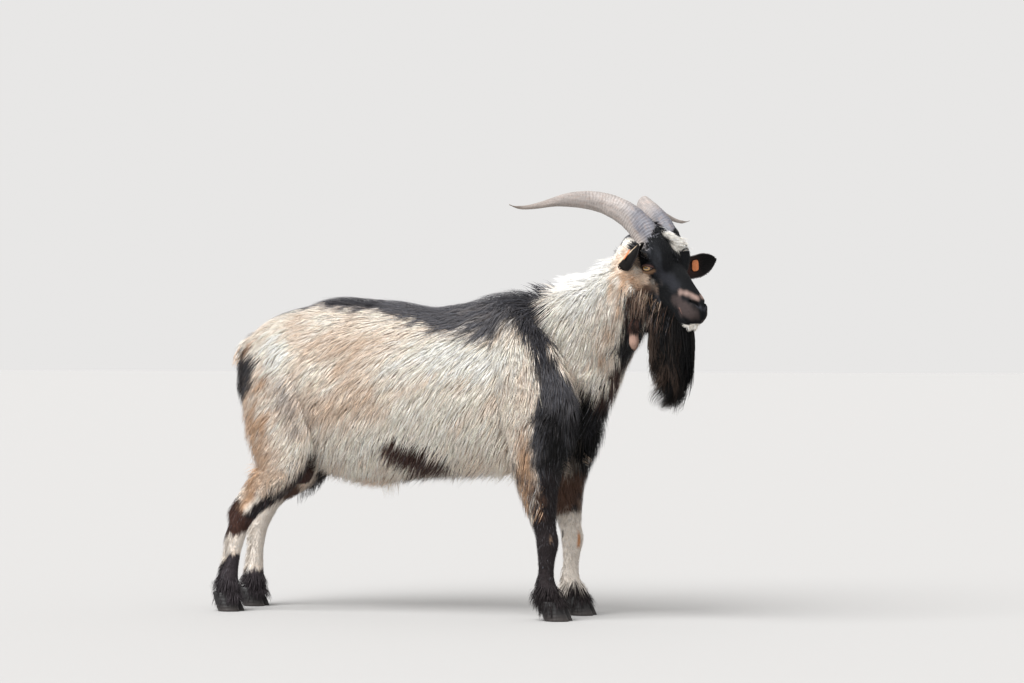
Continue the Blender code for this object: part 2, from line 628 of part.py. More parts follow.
def ear_tag(side, root, along, opening, bow, place, ear_obj):
    """A tag let into the ear: a plate in its hollow, one on its back, and a pin through both."""
    along = Vector(along).normalized()
    opening = Vector(opening)
    opening = (opening - along * opening.dot(along)).normalized()
    across = opening.cross(along)
    middle = np.asarray(root) + np.asarray(along) * EAR_LENGTH * place
    middle = middle + np.asarray(across) * bow * math.sin(math.pi * place)
    angle = np.linspace(0, 2 * math.pi, 12, endpoint=False)
    cos, sin = np.cos(angle), np.sin(angle)
    plate = np.stack([np.sign(cos) * np.abs(cos) ** 0.6, np.sign(sin) * np.abs(sin) ** 0.6], -1)
    plate = plate * (TAG_WIDTH / 2, TAG_HEIGHT / 2)
    pin = np.stack([cos, sin], -1) * TAG_PIN
    back, hollow = -0.0052, 0.0034
    levels = [
        (back - TAG_THICKNESS, plate), (back, plate), (back, pin),
        (hollow, pin), (hollow, plate), (hollow + TAG_THICKNESS, plate),
    ]
    rings = [
        middle + outline @ np.array([along, across]) + np.asarray(opening) * level
        for level, outline in levels
    ]
    obj = new_object(f"tag_{side}", *tube(np.array(rings)), "ear_tag")
    cutter = swollen(obj, GAP)
    boolean(ear_obj, cutter, "DIFFERENCE")
    removed(cutter)
    return obj


def eye(side, flip, head):
    """An eyeball let into the head."""
    place = Matrix.Translation(on_head(0.101, flip * 0.0525, -0.003))
    made = []
    for name, radius in ((f"eye_{side}", EYE_RADIUS), ("cutter", EYE_RADIUS + GAP)):
        ball = bmesh.new()
        bmesh.ops.create_uvsphere(ball, u_segments=12, v_segments=7, radius=radius, matrix=place)
        mesh = bpy.data.meshes.new(name)
        ball.to_mesh(mesh)
        ball.free()
        mesh.shade_smooth()
        obj = bpy.data.objects.new(name, mesh)
        bpy.context.scene.collection.objects.link(obj)
        made.append(obj)
    made[0].data.materials.append(material("amber_eye"))
    boolean(head, made[1], "DIFFERENCE")
    removed(made[1])
    return made[0]


def claw(name, x, y, side, length, width, height, leg):
    """One half of a cloven hoof: a pointed sole, flat on its inner side, sloping to the coronet."""
    around = 10
    angle = np.linspace(0, 2 * math.pi, around, endpoint=False)
    front = np.cos(angle)
    plan_x = length / 2 * front
    bulge = np.where(np.sin(angle) > 0, 1.0, 0.42) * np.sin(angle)
    plan_y = width * 0.62 * bulge * (1 - 0.32 * np.clip(front, 0, 1) ** 2)
    levels = np.array([0.0, 0.45, 1.0])
    rings = []
    for level in levels:
        z = height * level
        shrink_x, shrink_y = 1 - 0.13 * level, 1 - 0.10 * level
        lean = -0.42 * z + 0.006
        ring_x, ring_y = x + lean + plan_x * shrink_x, y + side * plan_y * shrink_y
        rings.append(np.stack([ring_x, ring_y, np.full(around, z)], axis=1))
    obj = new_object(name, *tube(np.array(rings)), "hoof")
    cutter = swollen(leg, SOCKET_GAP)
    boolean(obj, cutter, "DIFFERENCE")
    removed(cutter)
    return obj


def hanging(name, rows, place, flesh, coat, flip=1):
    """A sweep that hangs from the flesh, cut back to its surface."""
    obj = sweep(name, rows, place=place, flip=flip, steps=2, sides=12, coat=coat)
    for other in flesh:
        cutter = swollen(other, SOCKET_GAP)
        boolean(obj, cutter, "DIFFERENCE")
        removed(cutter)
    return obj


def build_growths(fine, whole, head, legs):
    made = []
    for side, flip in (("left", 1), ("right", -1)):
        made.append(horn(side, flip, fine))
        made.append(eye(side, flip, head))
    for side, root, along, opening, bow, place in EARS:
        made.append(ear(side, root, along, opening, bow, fine))
        made.append(ear_tag(side, root, along, opening, bow, place, made[-1]))

    def from_chin(x, y, z):
        return BEARD_ROOT + level_with_head(x, y, z)

    def from_throat(x, y, z):
        return WATTLE_ROOT + level_with_head(x, y, z)

    made.append(hanging("beard", BEARD, from_chin, [fine, whole], "black_coat"))
    made.append(hanging("tail", TAIL, None, [whole], "black_coat"))
    made.append(hanging("scrotum", SCROTUM, None, [whole, legs[1], legs[3]], "cream_coat"))
    for side, flip in (("left", 1), ("right", -1)):
        made.append(hanging(f"wattle_{side}", WATTLE, from_throat, [whole], "cream_coat", flip))
    return made


def build_hooves(legs):
    """Two claws to a foot, 4 mm apart, flat on the floor."""
    feet = {leg.name: leg for leg in legs}
    made = []
    for limb, stance_x, stance, length in (
        ("fore", FORE_STANCE_X + 0.022, FORE_STANCE_Y, 0.060),
        ("hind", HIND_STANCE_X, HIND_STANCE_Y, 0.056),
    ):
        for side, flip in (("left", 1), ("right", -1)):
            x = stance_x - (HIND_LAG if (limb, side) == ("hind", "left") else 0)
            leg = feet[f"{limb}leg_{side}"]
            for place, way in (("outer", flip), ("inner", -flip)):
                name, y = f"hoof_{limb}_{side}_{place}", flip * stance + way * CLAW_OFFSET
                made.append(claw(name, x, y, way, length, CLAW_WIDTH, CLAW_HEIGHT, leg))
    return made


def stand_on_origin(objects):
    """Moves every vertex so that the origin is at the middle of the box, at its bottom."""
    points = np.array([v.co for obj in objects for v in obj.data.vertices])
    low, high = points.min(0), points.max(0)
    shift = Matrix.Translation((-(low[0] + high[0]) / 2, -(low[1] + high[1]) / 2, -low[2]))
    for obj in objects:
        obj.data.transform(shift)


def main():
    clear_scene()
    fine, whole, head, neck, trunk, legs = build_flesh()
    growths = build_growths(fine, whole, head, legs)
    hooves = build_hooves(legs)
    removed(fine, whole)
    stand_on_origin([head, neck, trunk, *legs, *growths, *hooves])


main()
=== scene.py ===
import math
import time

import bpy
import numpy as np
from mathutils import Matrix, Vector


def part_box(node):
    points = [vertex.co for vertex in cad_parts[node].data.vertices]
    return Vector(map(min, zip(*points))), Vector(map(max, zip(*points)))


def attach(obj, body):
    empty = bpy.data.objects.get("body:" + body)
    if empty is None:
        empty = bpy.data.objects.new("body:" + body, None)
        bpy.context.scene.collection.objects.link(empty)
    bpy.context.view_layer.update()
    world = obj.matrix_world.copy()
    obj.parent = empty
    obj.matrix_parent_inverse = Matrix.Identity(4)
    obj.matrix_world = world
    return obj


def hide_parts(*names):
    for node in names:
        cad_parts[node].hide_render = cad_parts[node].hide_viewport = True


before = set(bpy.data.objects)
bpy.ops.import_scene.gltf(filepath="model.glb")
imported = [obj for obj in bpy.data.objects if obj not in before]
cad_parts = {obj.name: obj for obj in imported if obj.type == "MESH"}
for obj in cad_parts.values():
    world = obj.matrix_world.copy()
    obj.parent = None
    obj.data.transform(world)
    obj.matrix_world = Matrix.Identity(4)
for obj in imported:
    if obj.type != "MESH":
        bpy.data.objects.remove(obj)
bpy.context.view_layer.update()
clockStart = time.perf_counter()


def stage(text):
    print(f"{time.perf_counter() - clockStart:6.1f} s  {text}")


# the head's own axes: along the face from the poll, to the goat's left, above the face line
headPose = dict(poll=(0.619, -0.054, 0.890), yaw=-25, pitch=38, roll=-2, eye=(0.101, 0.0525, -0.003),
                eyeRadius=0.0145)
sides = (("left", 1), ("right", -1))


def turnAbout(axis, degrees):
    # a turn about one axis: cosines on the diagonal and plus and minus the sine beside it
    i, j = {"X": (1, 2), "Y": (2, 0), "Z": (0, 1)}[axis]
    cosine, sine = math.cos(math.radians(degrees)), math.sin(math.radians(degrees))
    matrix = np.eye(3)
    matrix[i, i] = matrix[j, j] = cosine
    matrix[i, j], matrix[j, i] = -sine, sine
    return matrix


pollPoint = np.array(headPose["poll"])
levelTurn = turnAbout("Z", headPose["yaw"])
headTurn = levelTurn @ turnAbout("Y", headPose["pitch"]) @ turnAbout("X", headPose["roll"])


def onHead(points):
    # place = poll + turn times the point in the head's axes
    return pollPoint + np.asarray(points, float) @ headTurn.T


def toHead(points):
    # the reverse: the turn's transpose times the step from the poll
    return (np.asarray(points, float) - pollPoint) @ headTurn


def levelWithHead(vectors):
    # a direction in the head's heading, with up left upright
    return np.asarray(vectors, float) @ levelTurn.T


# everything below is worked out from the middle of the stance, and moved to the frame at the end
eyeLow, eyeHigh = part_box("eye_right")
modelShift = np.array((eyeLow + eyeHigh) / 2) - onHead(np.array(headPose["eye"]) * (1, -1, 1))

# ring tables in millimetres: x, y, z, then the flesh's half width,
# rise and drop, and the coat's depth at the side, above and below
trunkRows = [
    (-408, 0, 620, 18, 25, 35, 6, 6, 8),
    (-392, 0, 615, 60, 65, 85, 12, 10, 14),
    (-355, 0, 605, 92, 108, 120, 16, 14, 18),
    (-300, 0, 590, 112, 146, 145, 20, 18, 20),
    (-235, 0, 572, 124, 181, 170, 22, 20, 22),
    (-170, 0, 560, 130, 198, 185, 22, 20, 28),
    (-90, 0, 550, 138, 202, 200, 22, 20, 32),
    (0, 0, 542, 146, 202, 196, 22, 20, 30),
    (100, 0, 540, 144, 193, 184, 22, 20, 30),
    (200, 0, 545, 132, 201, 180, 24, 20, 32),
    (290, 0, 552, 116, 214, 176, 26, 22, 36),
    (360, 0, 552, 102, 200, 170, 28, 24, 36),
    (415, 0, 545, 86, 150, 162, 28, 26, 36),
    (455, 0, 530, 64, 105, 130, 28, 26, 38),
    (485, 0, 510, 40, 60, 85, 24, 22, 34),
    (502, 0, 495, 14, 25, 40, 16, 18, 24),
]
neckRows = [
    (330, 0, 610, 70, 120, 140, 24, 30, 30),
    (400, 0, 628, 74, 136, 150, 26, 34, 34),
    (462, -7, 655, 73, 130, 136, 28, 36, 34),
    (520, -20, 690, 69, 118, 88, 28, 36, 28),
    (568, -35, 730, 64, 104, 66, 26, 30, 22),
    (606, -50, 778, 58, 82, 64, 20, 18, 18),
    (636, -62, 825, 50, 52, 58, 10, 10, 12),
    (652, -68, 860, 36, 26, 36, 6, 6, 6),
]
headRows = [
    (-32, 0, -12, 30, 30, 46, 4, 4, 6),
    (-12, 0, -12, 48, 50, 82, 6, 5, 12),
    (15, 0, -14, 57, 60, 96, 7, 5, 14),
    (45, 0, -15, 61, 66, 90, 7, 5, 14),
    (75, 0, -16, 60, 64, 78, 6, 4, 14),
    (105, 0, -18, 54, 57, 66, 5, 4, 12),
    (135, 0, -20, 46, 52, 55, 5, 3, 10),
    (165, 0, -22, 39, 49, 49, 4, 3, 8),
    (195, 0, -23, 34, 45, 45, 3, 2, 6),
    (222, 0, -23, 33, 40, 44, 2, 2, 5),
    (244, 0, -24, 31, 32, 41, 2, 2, 4),
    (260, 0, -25, 24, 19, 31, 2, 2, 3),
    (267, 0, -26, 10, 8, 14, 2, 2, 2),
]
browRows = [
    (62, 38, 12, 12, 12, 12, 3, 3, 3),
    (82, 43, 18, 16, 15, 13, 3, 3, 3),
    (104, 42, 16, 16, 14, 13, 3, 3, 3),
    (124, 35, 6, 10, 10, 10, 3, 3, 3),
]
pollRows = [
    (-12, 0, 30, 10, 6, 12, 6, 6, 6),
    (14, 0, 44, 18, 18, 18, 14, 18, 12),
    (42, 0, 43, 22, 20, 20, 14, 18, 10),
    (72, 0, 44, 24, 19, 24, 14, 18, 10),
    (98, 0, 38, 22, 16, 24, 12, 14, 10),
    (120, 0, 26, 12, 10, 12, 8, 8, 8),
]
hornFootRows = [
    (60, 33, 50, 18, 8, 20, 5, 5, 5),
    (72, 33, 50, 25, 15, 20, 5, 5, 5),
    (88, 32, 44, 28, 19, 20, 5, 5, 5),
    (103, 31, 34, 27, 21, 20, 5, 5, 5),
    (118, 29, 24, 20, 17, 16, 5, 5, 5),
    (134, 26, 14, 12, 12, 12, 5, 5, 5),
]
foreRows = [
    (262, 38, 735, 20, 30, 30, 20, 18, 18),
    (300, 62, 680, 36, 62, 60, 22, 20, 20),
    (350, 82, 600, 44, 82, 82, 24, 24, 22),
    (388, 96, 520, 48, 80, 90, 24, 26, 22),
    (396, 102, 450, 46, 70, 80, 22, 26, 24),
    (388, 100, 385, 41, 54, 62, 20, 22, 24),
    (386, 96, 325, 34, 41, 43, 16, 16, 22),
    (393, 93, 265, 27, 30, 31, 10, 10, 14),
    (400, 91, 215, 23.5, 25.5, 25, 6, 6, 7),
    (404, 90, 182, 25, 27, 25, 5, 5, 6),
    (403, 90, 150, 19.5, 21, 21, 5, 5, 6),
    (402, 90, 115, 16.5, 17.5, 19, 5, 5, 6),
    (403, 90, 88, 19, 19.5, 22, 5, 5, 8),
    (406, 90, 69, 24.5, 24, 26, 4, 4, 10),
    (414, 90, 50, 23.5, 22, 24, 3, 3, 6),
    (420, 90, 36, 26, 27, 27, 1, 1, 1),
]
thighRows = [
    (-235, 45, 690, 30, 50, 50, 20, 18, 16),
    (-255, 70, 630, 48, 85, 82, 22, 20, 18),
    (-272, 86, 555, 52, 98, 94, 22, 20, 20),
    (-272, 94, 480, 49, 92, 86, 20, 20, 24),
    (-264, 98, 415, 41, 68, 74, 18, 18, 26),
]
shankRightRows = [
    (-274, 96, 355, 34, 47, 50, 14, 16, 20),
    (-309, 93, 305, 27, 33, 36, 10, 12, 16),
    (-352, 90, 262, 22.5, 25, 28, 7, 8, 12),
    (-386, 88, 224, 23.5, 25, 29, 5, 4, 8),
    (-397, 86, 188, 19, 20, 23, 5, 4, 10),
    (-407, 85, 145, 16, 16, 18, 5, 4, 14),
    (-416, 85, 104, 18, 18, 20, 5, 4, 8),
    (-421, 85, 76, 23.5, 22, 24, 4, 4, 10),
    (-421, 85, 53, 23, 22, 24, 3, 3, 7),
    (-419, 85, 37, 25.5, 26, 26, 1, 1, 1),
]
shankLeftRows = [
    (-288, 96, 355, 34, 47, 50, 14, 14, 16),
    (-332, 93, 312, 27, 32, 34, 10, 10, 12),
    (-379, 90, 270, 22.5, 24, 26, 7, 6, 10),
    (-408, 88, 224, 23.5, 23, 27, 5, 4, 7),
    (-417, 86, 188, 19, 18, 21, 5, 4, 6),
    (-422, 85, 145, 16, 15, 17, 5, 4, 6),
    (-426, 85, 104, 18, 18, 20, 5, 4, 6),
    (-429, 85, 76, 23.5, 22, 24, 4, 4, 10),
    (-429, 85, 53, 23, 22, 24, 3, 3, 7),
    (-427, 85, 37, 25.5, 26, 26, 1, 1, 1),
]
tendonRightRows = [
    (-322, 94, 352, 14, 14, 14, 8, 8, 10),
    (-364, 91, 298, 10.5, 11, 11, 6, 6, 10),
    (-397, 89, 254, 11.5, 13, 12, 5, 5, 8),
    (-405, 88, 236, 14, 15, 14, 5, 5, 6),
    (-402, 87, 205, 14, 15, 12, 5, 5, 6),
]
tendonLeftRows = [
    (-336, 94, 356, 14, 14, 14, 8, 8, 10),
    (-384, 91, 304, 10.5, 11, 11, 6, 6, 8),
    (-418, 89, 258, 11.5, 13, 12, 5, 5, 6),
    (-426, 88, 238, 14, 15, 13, 5, 5, 6),
    (-421, 87, 205, 14, 15, 12, 5, 5, 6),
]
sheathRows = [
    (-150, 0, 372, 20, 20, 18, 10, 10, 12),
    (-100, 0, 358, 28, 26, 22, 12, 10, 18),
    (-50, 0, 350, 28, 26, 24, 12, 10, 20),
    (-10, 0, 350, 18, 20, 18, 10, 10, 18),
]
scrotumRows = [
    (-262, 0, 430, 26, 22, 22, 6, 6, 6),
    (-266, 0, 385, 36, 28, 28, 6, 6, 6),
    (-268, 0, 340, 40, 32, 32, 6, 6, 6),
    (-266, 0, 312, 24, 20, 20, 6, 6, 6),
]
tailRows = [
    (-345, 0, 672, 12, 8, 12, 8, 4, 8),
    (-380, 0, 668, 13, 9, 12, 15, 9, 12),
    (-408, 0, 652, 12, 9, 10, 24, 15, 18),
    (-420, 0, 622, 10, 8, 8, 28, 18, 20),
    (-415, 0, 580, 8, 7, 7, 25, 17, 17),
    (-410, 0, 552, 4, 3, 3, 20, 14, 14),
]
wattleRows = [
    (0, 40, 20, 7, 7, 7, 1, 1, 1),
    (0, 54, 2, 8, 9, 9, 1, 1, 1),
    (1, 62, -22, 10, 11, 11, 1, 1, 1),
    (2, 63, -46, 11, 13, 13, 1, 1, 1),
    (2, 62, -61, 6, 7, 7, 1, 1, 1),
]
beardRows = [
    (-18, 0, 22, 30, 50, 60, 0, 0, 0),
    (-18, 0, -20, 34, 50, 66, 0, 0, 0),
    (-14, 0, -70, 34, 54, 72, 0, 0, 0),
    (-14, 0, -115, 33, 54, 68, 0, 0, 0),
    (-16, 0, -155, 30, 46, 54, 0, 0, 0),
    (-24, 0, -190, 24, 30, 40, 0, 0, 0),
    (-36, 0, -218, 14, 18, 24, 0, 0, 0),
    (-44, 0, -238, 4, 4, 6, 0, 0, 0),
]
neckMiddle = np.array(neckRows)[:, :2].T / 1000
throatPoint = np.array((0.652, -0.058, 0.700))
beardRoot = onHead((0.195, 0.0, -0.045))


def fromThroat(points):
    return throatPoint + levelWithHead(points)


def fromChin(points):
    return beardRoot + levelWithHead(points)


# sweeps


def smoothRows(rows, steps):
    # Catmull-Rom: at each row the curve runs parallel to the line from the row before to the row after
    table = np.asarray(rows, float) / 1000
    padded = np.vstack([2 * table[0] - table[1], table, 2 * table[-1] - table[-2]])
    span = np.arange((len(table) - 1) * steps) // steps
    t = (np.arange(len(span)) % steps / steps)[:, None]
    a, b, c, d = (padded[span + k] for k in range(4))
    square, cube = (2 * a - 5 * b + 4 * c - d) * t**2, (3 * b - a - 3 * c + d) * t**3
    inner = 0.5 * (2 * b + (c - a) * t + square + cube)
    return np.vstack([inner, table[-1:]])


def unit(vectors):
    # each vector divided by its length
    return vectors / np.maximum(np.linalg.norm(vectors, axis=-1, keepdims=True), 1e-12)


def squareTo(vectors, axis):
    # what is left of a vector without its part along the axis, at unit length
    return unit(vectors - axis * (vectors * axis).sum(-1, keepdims=True))


def makePart(rows, place=None, flip=1, steps=8):
    # rings across a smoothed path: each has a centre, a side and an up direction, and its sizes
    table = smoothRows(rows, steps)
    centre = table[:, :3] * (1, flip, 1)
    side = np.array([[0.0, 1.0, 0.0]])
    if place is not None:
        side = place(side) - place(np.zeros((1, 3)))
        centre = place(centre)
    tangent = unit(np.gradient(centre, axis=0))
    side = squareTo(side, tangent)
    run = np.concatenate([[0], np.cumsum(np.linalg.norm(np.diff(centre, axis=0), axis=1))])
    return dict(centre=centre, side=side, up=np.cross(tangent, side), tangent=tangent, run=run,
                size=np.abs(table[:, 3:6]), coat=np.abs(table[:, 6:9]))


def ringGrid(part, around, squareness):
    # superellipse rings: side times cosine and up times sine, each to the power two over the squareness
    angle = np.linspace(0, 2 * math.pi, around, endpoint=False)
    across, above = (np.sign(wave) * np.abs(wave) ** (2 / squareness)
                     for wave in (np.cos(angle), np.sin(angle)))
    centre, side, up, size = (part[key][:, None] for key in ("centre", "side", "up", "size"))
    width = size[..., 0] * across
    height = np.where(above > 0, above * size[..., 1], above * size[..., 2])
    return centre + side * width[..., None] + up * height[..., None]


def withEnds(values):
    # a grid's values followed by those of its two end vertices
    return np.concatenate([values.reshape(-1, values.shape[-1]), values[0].mean(0)[None],
                           values[-1].mean(0)[None]])


def closedGrid(points):
    # a grid of rings as vertices, quads from each ring to
    # the next, wrapped round, and a fan on each end's centre
    rings, around = points.shape[:2]
    index = np.arange(rings * around).reshape(rings, around)
    turned = np.roll(index, -1, axis=1)
    quads = np.stack([index[:-1], index[1:], turned[1:], turned[:-1]], -1).reshape(-1, 4)
    ends = np.full((around, 2), rings * around) + (0, 1)
    fans = np.concatenate([np.stack([index[0], turned[0], ends[:, 0]], -1),
                           np.stack([turned[-1], index[-1], ends[:, 1]], -1)])
    return withEnds(points), quads, fans


def joined(shapes):
    # several (vertices, quads, triangles) as one, each set of indices moved up by the vertices before it
    starts = np.cumsum([0] + [len(shape[0]) for shape in shapes[:-1]])
    vertices = np.concatenate([shape[0] for shape in shapes])
    quads, triangles = (np.concatenate([shape[k] + start for shape, start in zip(shapes, starts)])
                        for k in (1, 2))
    return vertices, quads, triangles


def asTriangles(quads, triangles=np.zeros((0, 3), int)):
    # each quad cut in two, and the triangles after them
    return np.concatenate([quads[:, [0, 1, 2]], quads[:, [0, 2, 3]], triangles])


def outward(shape):
    # a shape's faces turned over where its volume, from its triangles' triple products, comes out negative
    vertices, quads, triangles = shape
    every, centred = asTriangles(quads, triangles), vertices - vertices.mean(0)
    a, b, c = (centred[every[:, k]] for k in range(3))
    if (a * np.cross(b, c)).sum() < 0:
        return vertices, quads[:, ::-1], triangles[:, ::-1]
    return shape


def newMesh(name, vertices, quads, triangles):
    mesh = bpy.data.meshes.new(name)
    loops = np.concatenate([quads.reshape(-1), triangles.reshape(-1)]).astype(np.int32)
    totals = np.repeat([4, 3], [len(quads), len(triangles)])
    mesh.vertices.add(len(vertices))
    mesh.vertices.foreach_set("co", np.asarray(vertices, np.float32).reshape(-1))
    mesh.loops.add(len(loops))
    mesh.loops.foreach_set("vertex_index", loops)
    mesh.polygons.add(len(totals))
    mesh.polygons.foreach_set("loop_start", (np.cumsum(totals) - totals).astype(np.int32))
    mesh.polygons.foreach_set("use_smooth", np.ones(len(totals), bool))
    mesh.update(calc_edges=True)
    return mesh


hairFloor = dict(height=0.001, fall=0.003)


def newPiece(name, shape, material=None, colours=None, slot=None, replaces=(), move=True):
    vertices, quads, triangles = shape
    places = vertices + (modelShift if move else 0)
    if material and material.name == "goatHair":
        # hair bends along the floor: a height z below h becomes h times e to the (z - h) over the fall
        low = places[:, 2] < hairFloor["height"]
        under = places[low, 2] - hairFloor["height"]
        places[low, 2] = hairFloor["height"] * np.exp(under / hairFloor["fall"])
    obj = bpy.data.objects.new(name, newMesh(name, places, quads, triangles))
    bpy.context.scene.collection.objects.link(obj)
    if material:
        obj.data.materials.append(material)
    if colours is not None:
        setColours(obj.data, colours)
    if slot:
        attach(obj, "root")
        if replaces:
            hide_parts(*replaces)
    return obj


def setColours(mesh, colours):
    attribute = mesh.attributes.new("coatColour", "FLOAT_COLOR", "POINT")
    filled = np.ones((len(colours), 4), np.float32)
    filled[:, :3] = colours
    attribute.data.foreach_set("color", filled.reshape(-1))


def meshArrays(mesh):
    # vertex places and normals
    count = len(mesh.vertices)
    places, normals = np.empty(count * 3, np.float32), np.empty(count * 3, np.float32)
    mesh.vertices.foreach_get("co", places)
    mesh.vertices.foreach_get("normal", normals)
    return places.reshape(-1, 3).astype(float), normals.reshape(-1, 3).astype(float)


def settled(obj):
    # the object's mesh with its modifiers worked in
    bpy.context.view_layer.update()
    made = bpy.data.meshes.new_from_object(obj.evaluated_get(bpy.context.evaluated_depsgraph_get()))
    old = obj.data
    obj.modifiers.clear()
    obj.data = made
    bpy.data.meshes.remove(old)
    return obj


# colours and noise


def linear(hexValue):
    # sRGB to linear: below 0.04045 divide by 12.92, above it ((c + 0.055) / 1.055) to the power 2.4
    value = np.array([int(hexValue[i:i + 2], 16) for i in (1, 3, 5)]) / 255
    return np.where(value <= 0.04045, value / 12.92, ((value + 0.055) / 1.055) ** 2.4)


def ripple(points, scale, seed):
    # smooth noise in -1 to 1: the mean of seven sine waves of about
    # that wavelength in random directions, scaled up and clipped
    source = np.random.default_rng(seed)
    waves = 7
    aim = unit(source.normal(size=(waves, 3))) * source.uniform(0.6, 1.7, (waves, 1)) / scale * 2 * math.pi
    phase = source.uniform(0, 2 * math.pi, waves)
    return np.clip(np.sin(points @ aim.T + phase).mean(1) * math.sqrt(waves) * 0.75, -1, 1)


def past(value, start, span):
    # 0 up to the start, rising evenly to 1 a span beyond it, and level from there
    return np.clip((value - start) / span, 0, 1)


def mirrored(points):
    # both sides of the body folded onto the left
    return np.stack([points[:, 0], np.abs(points[:, 1]), points[:, 2]], -1)


# chestShadeBlack is black darkened for the painted shade on the chest
# slateSheenDark and slateSheenBlack are black lightened to slate, a painted sheen of the sky on black hair,
# with some grey of its own
# templeSheen is black lightened by a painted sheen on the temple
coatShades = dict(
    cream="#F6E9DB", white="#FBF5EC", pale="#F9EEE2", sand="#DDC6B1", tan="#CBA88A", orange="#BE8A62",
    grey="#918C8C", steel="#5B5B61", ash="#857367", brown="#5C463B", darkBrown="#44302A",
    black="#1A191A", chestShadeBlack="#080808", deep="#0A0909",
    slate="#2B2C31", slateSheenDark="#3A393D", slateSheenBlack="#5E5D61", pastern="#393437",
    legBlack="#2B2627", legWhite="#D6CDC3", faceBlack="#131416", templeSheen="#3A3C41", muzzle="#3E3635",
    nose="#947E76", pink="#8C6D63", lidPink="#7A5B55", earTan="#C9B296",
)
coatShades = {name: linear(value) for name, value in coatShades.items()}

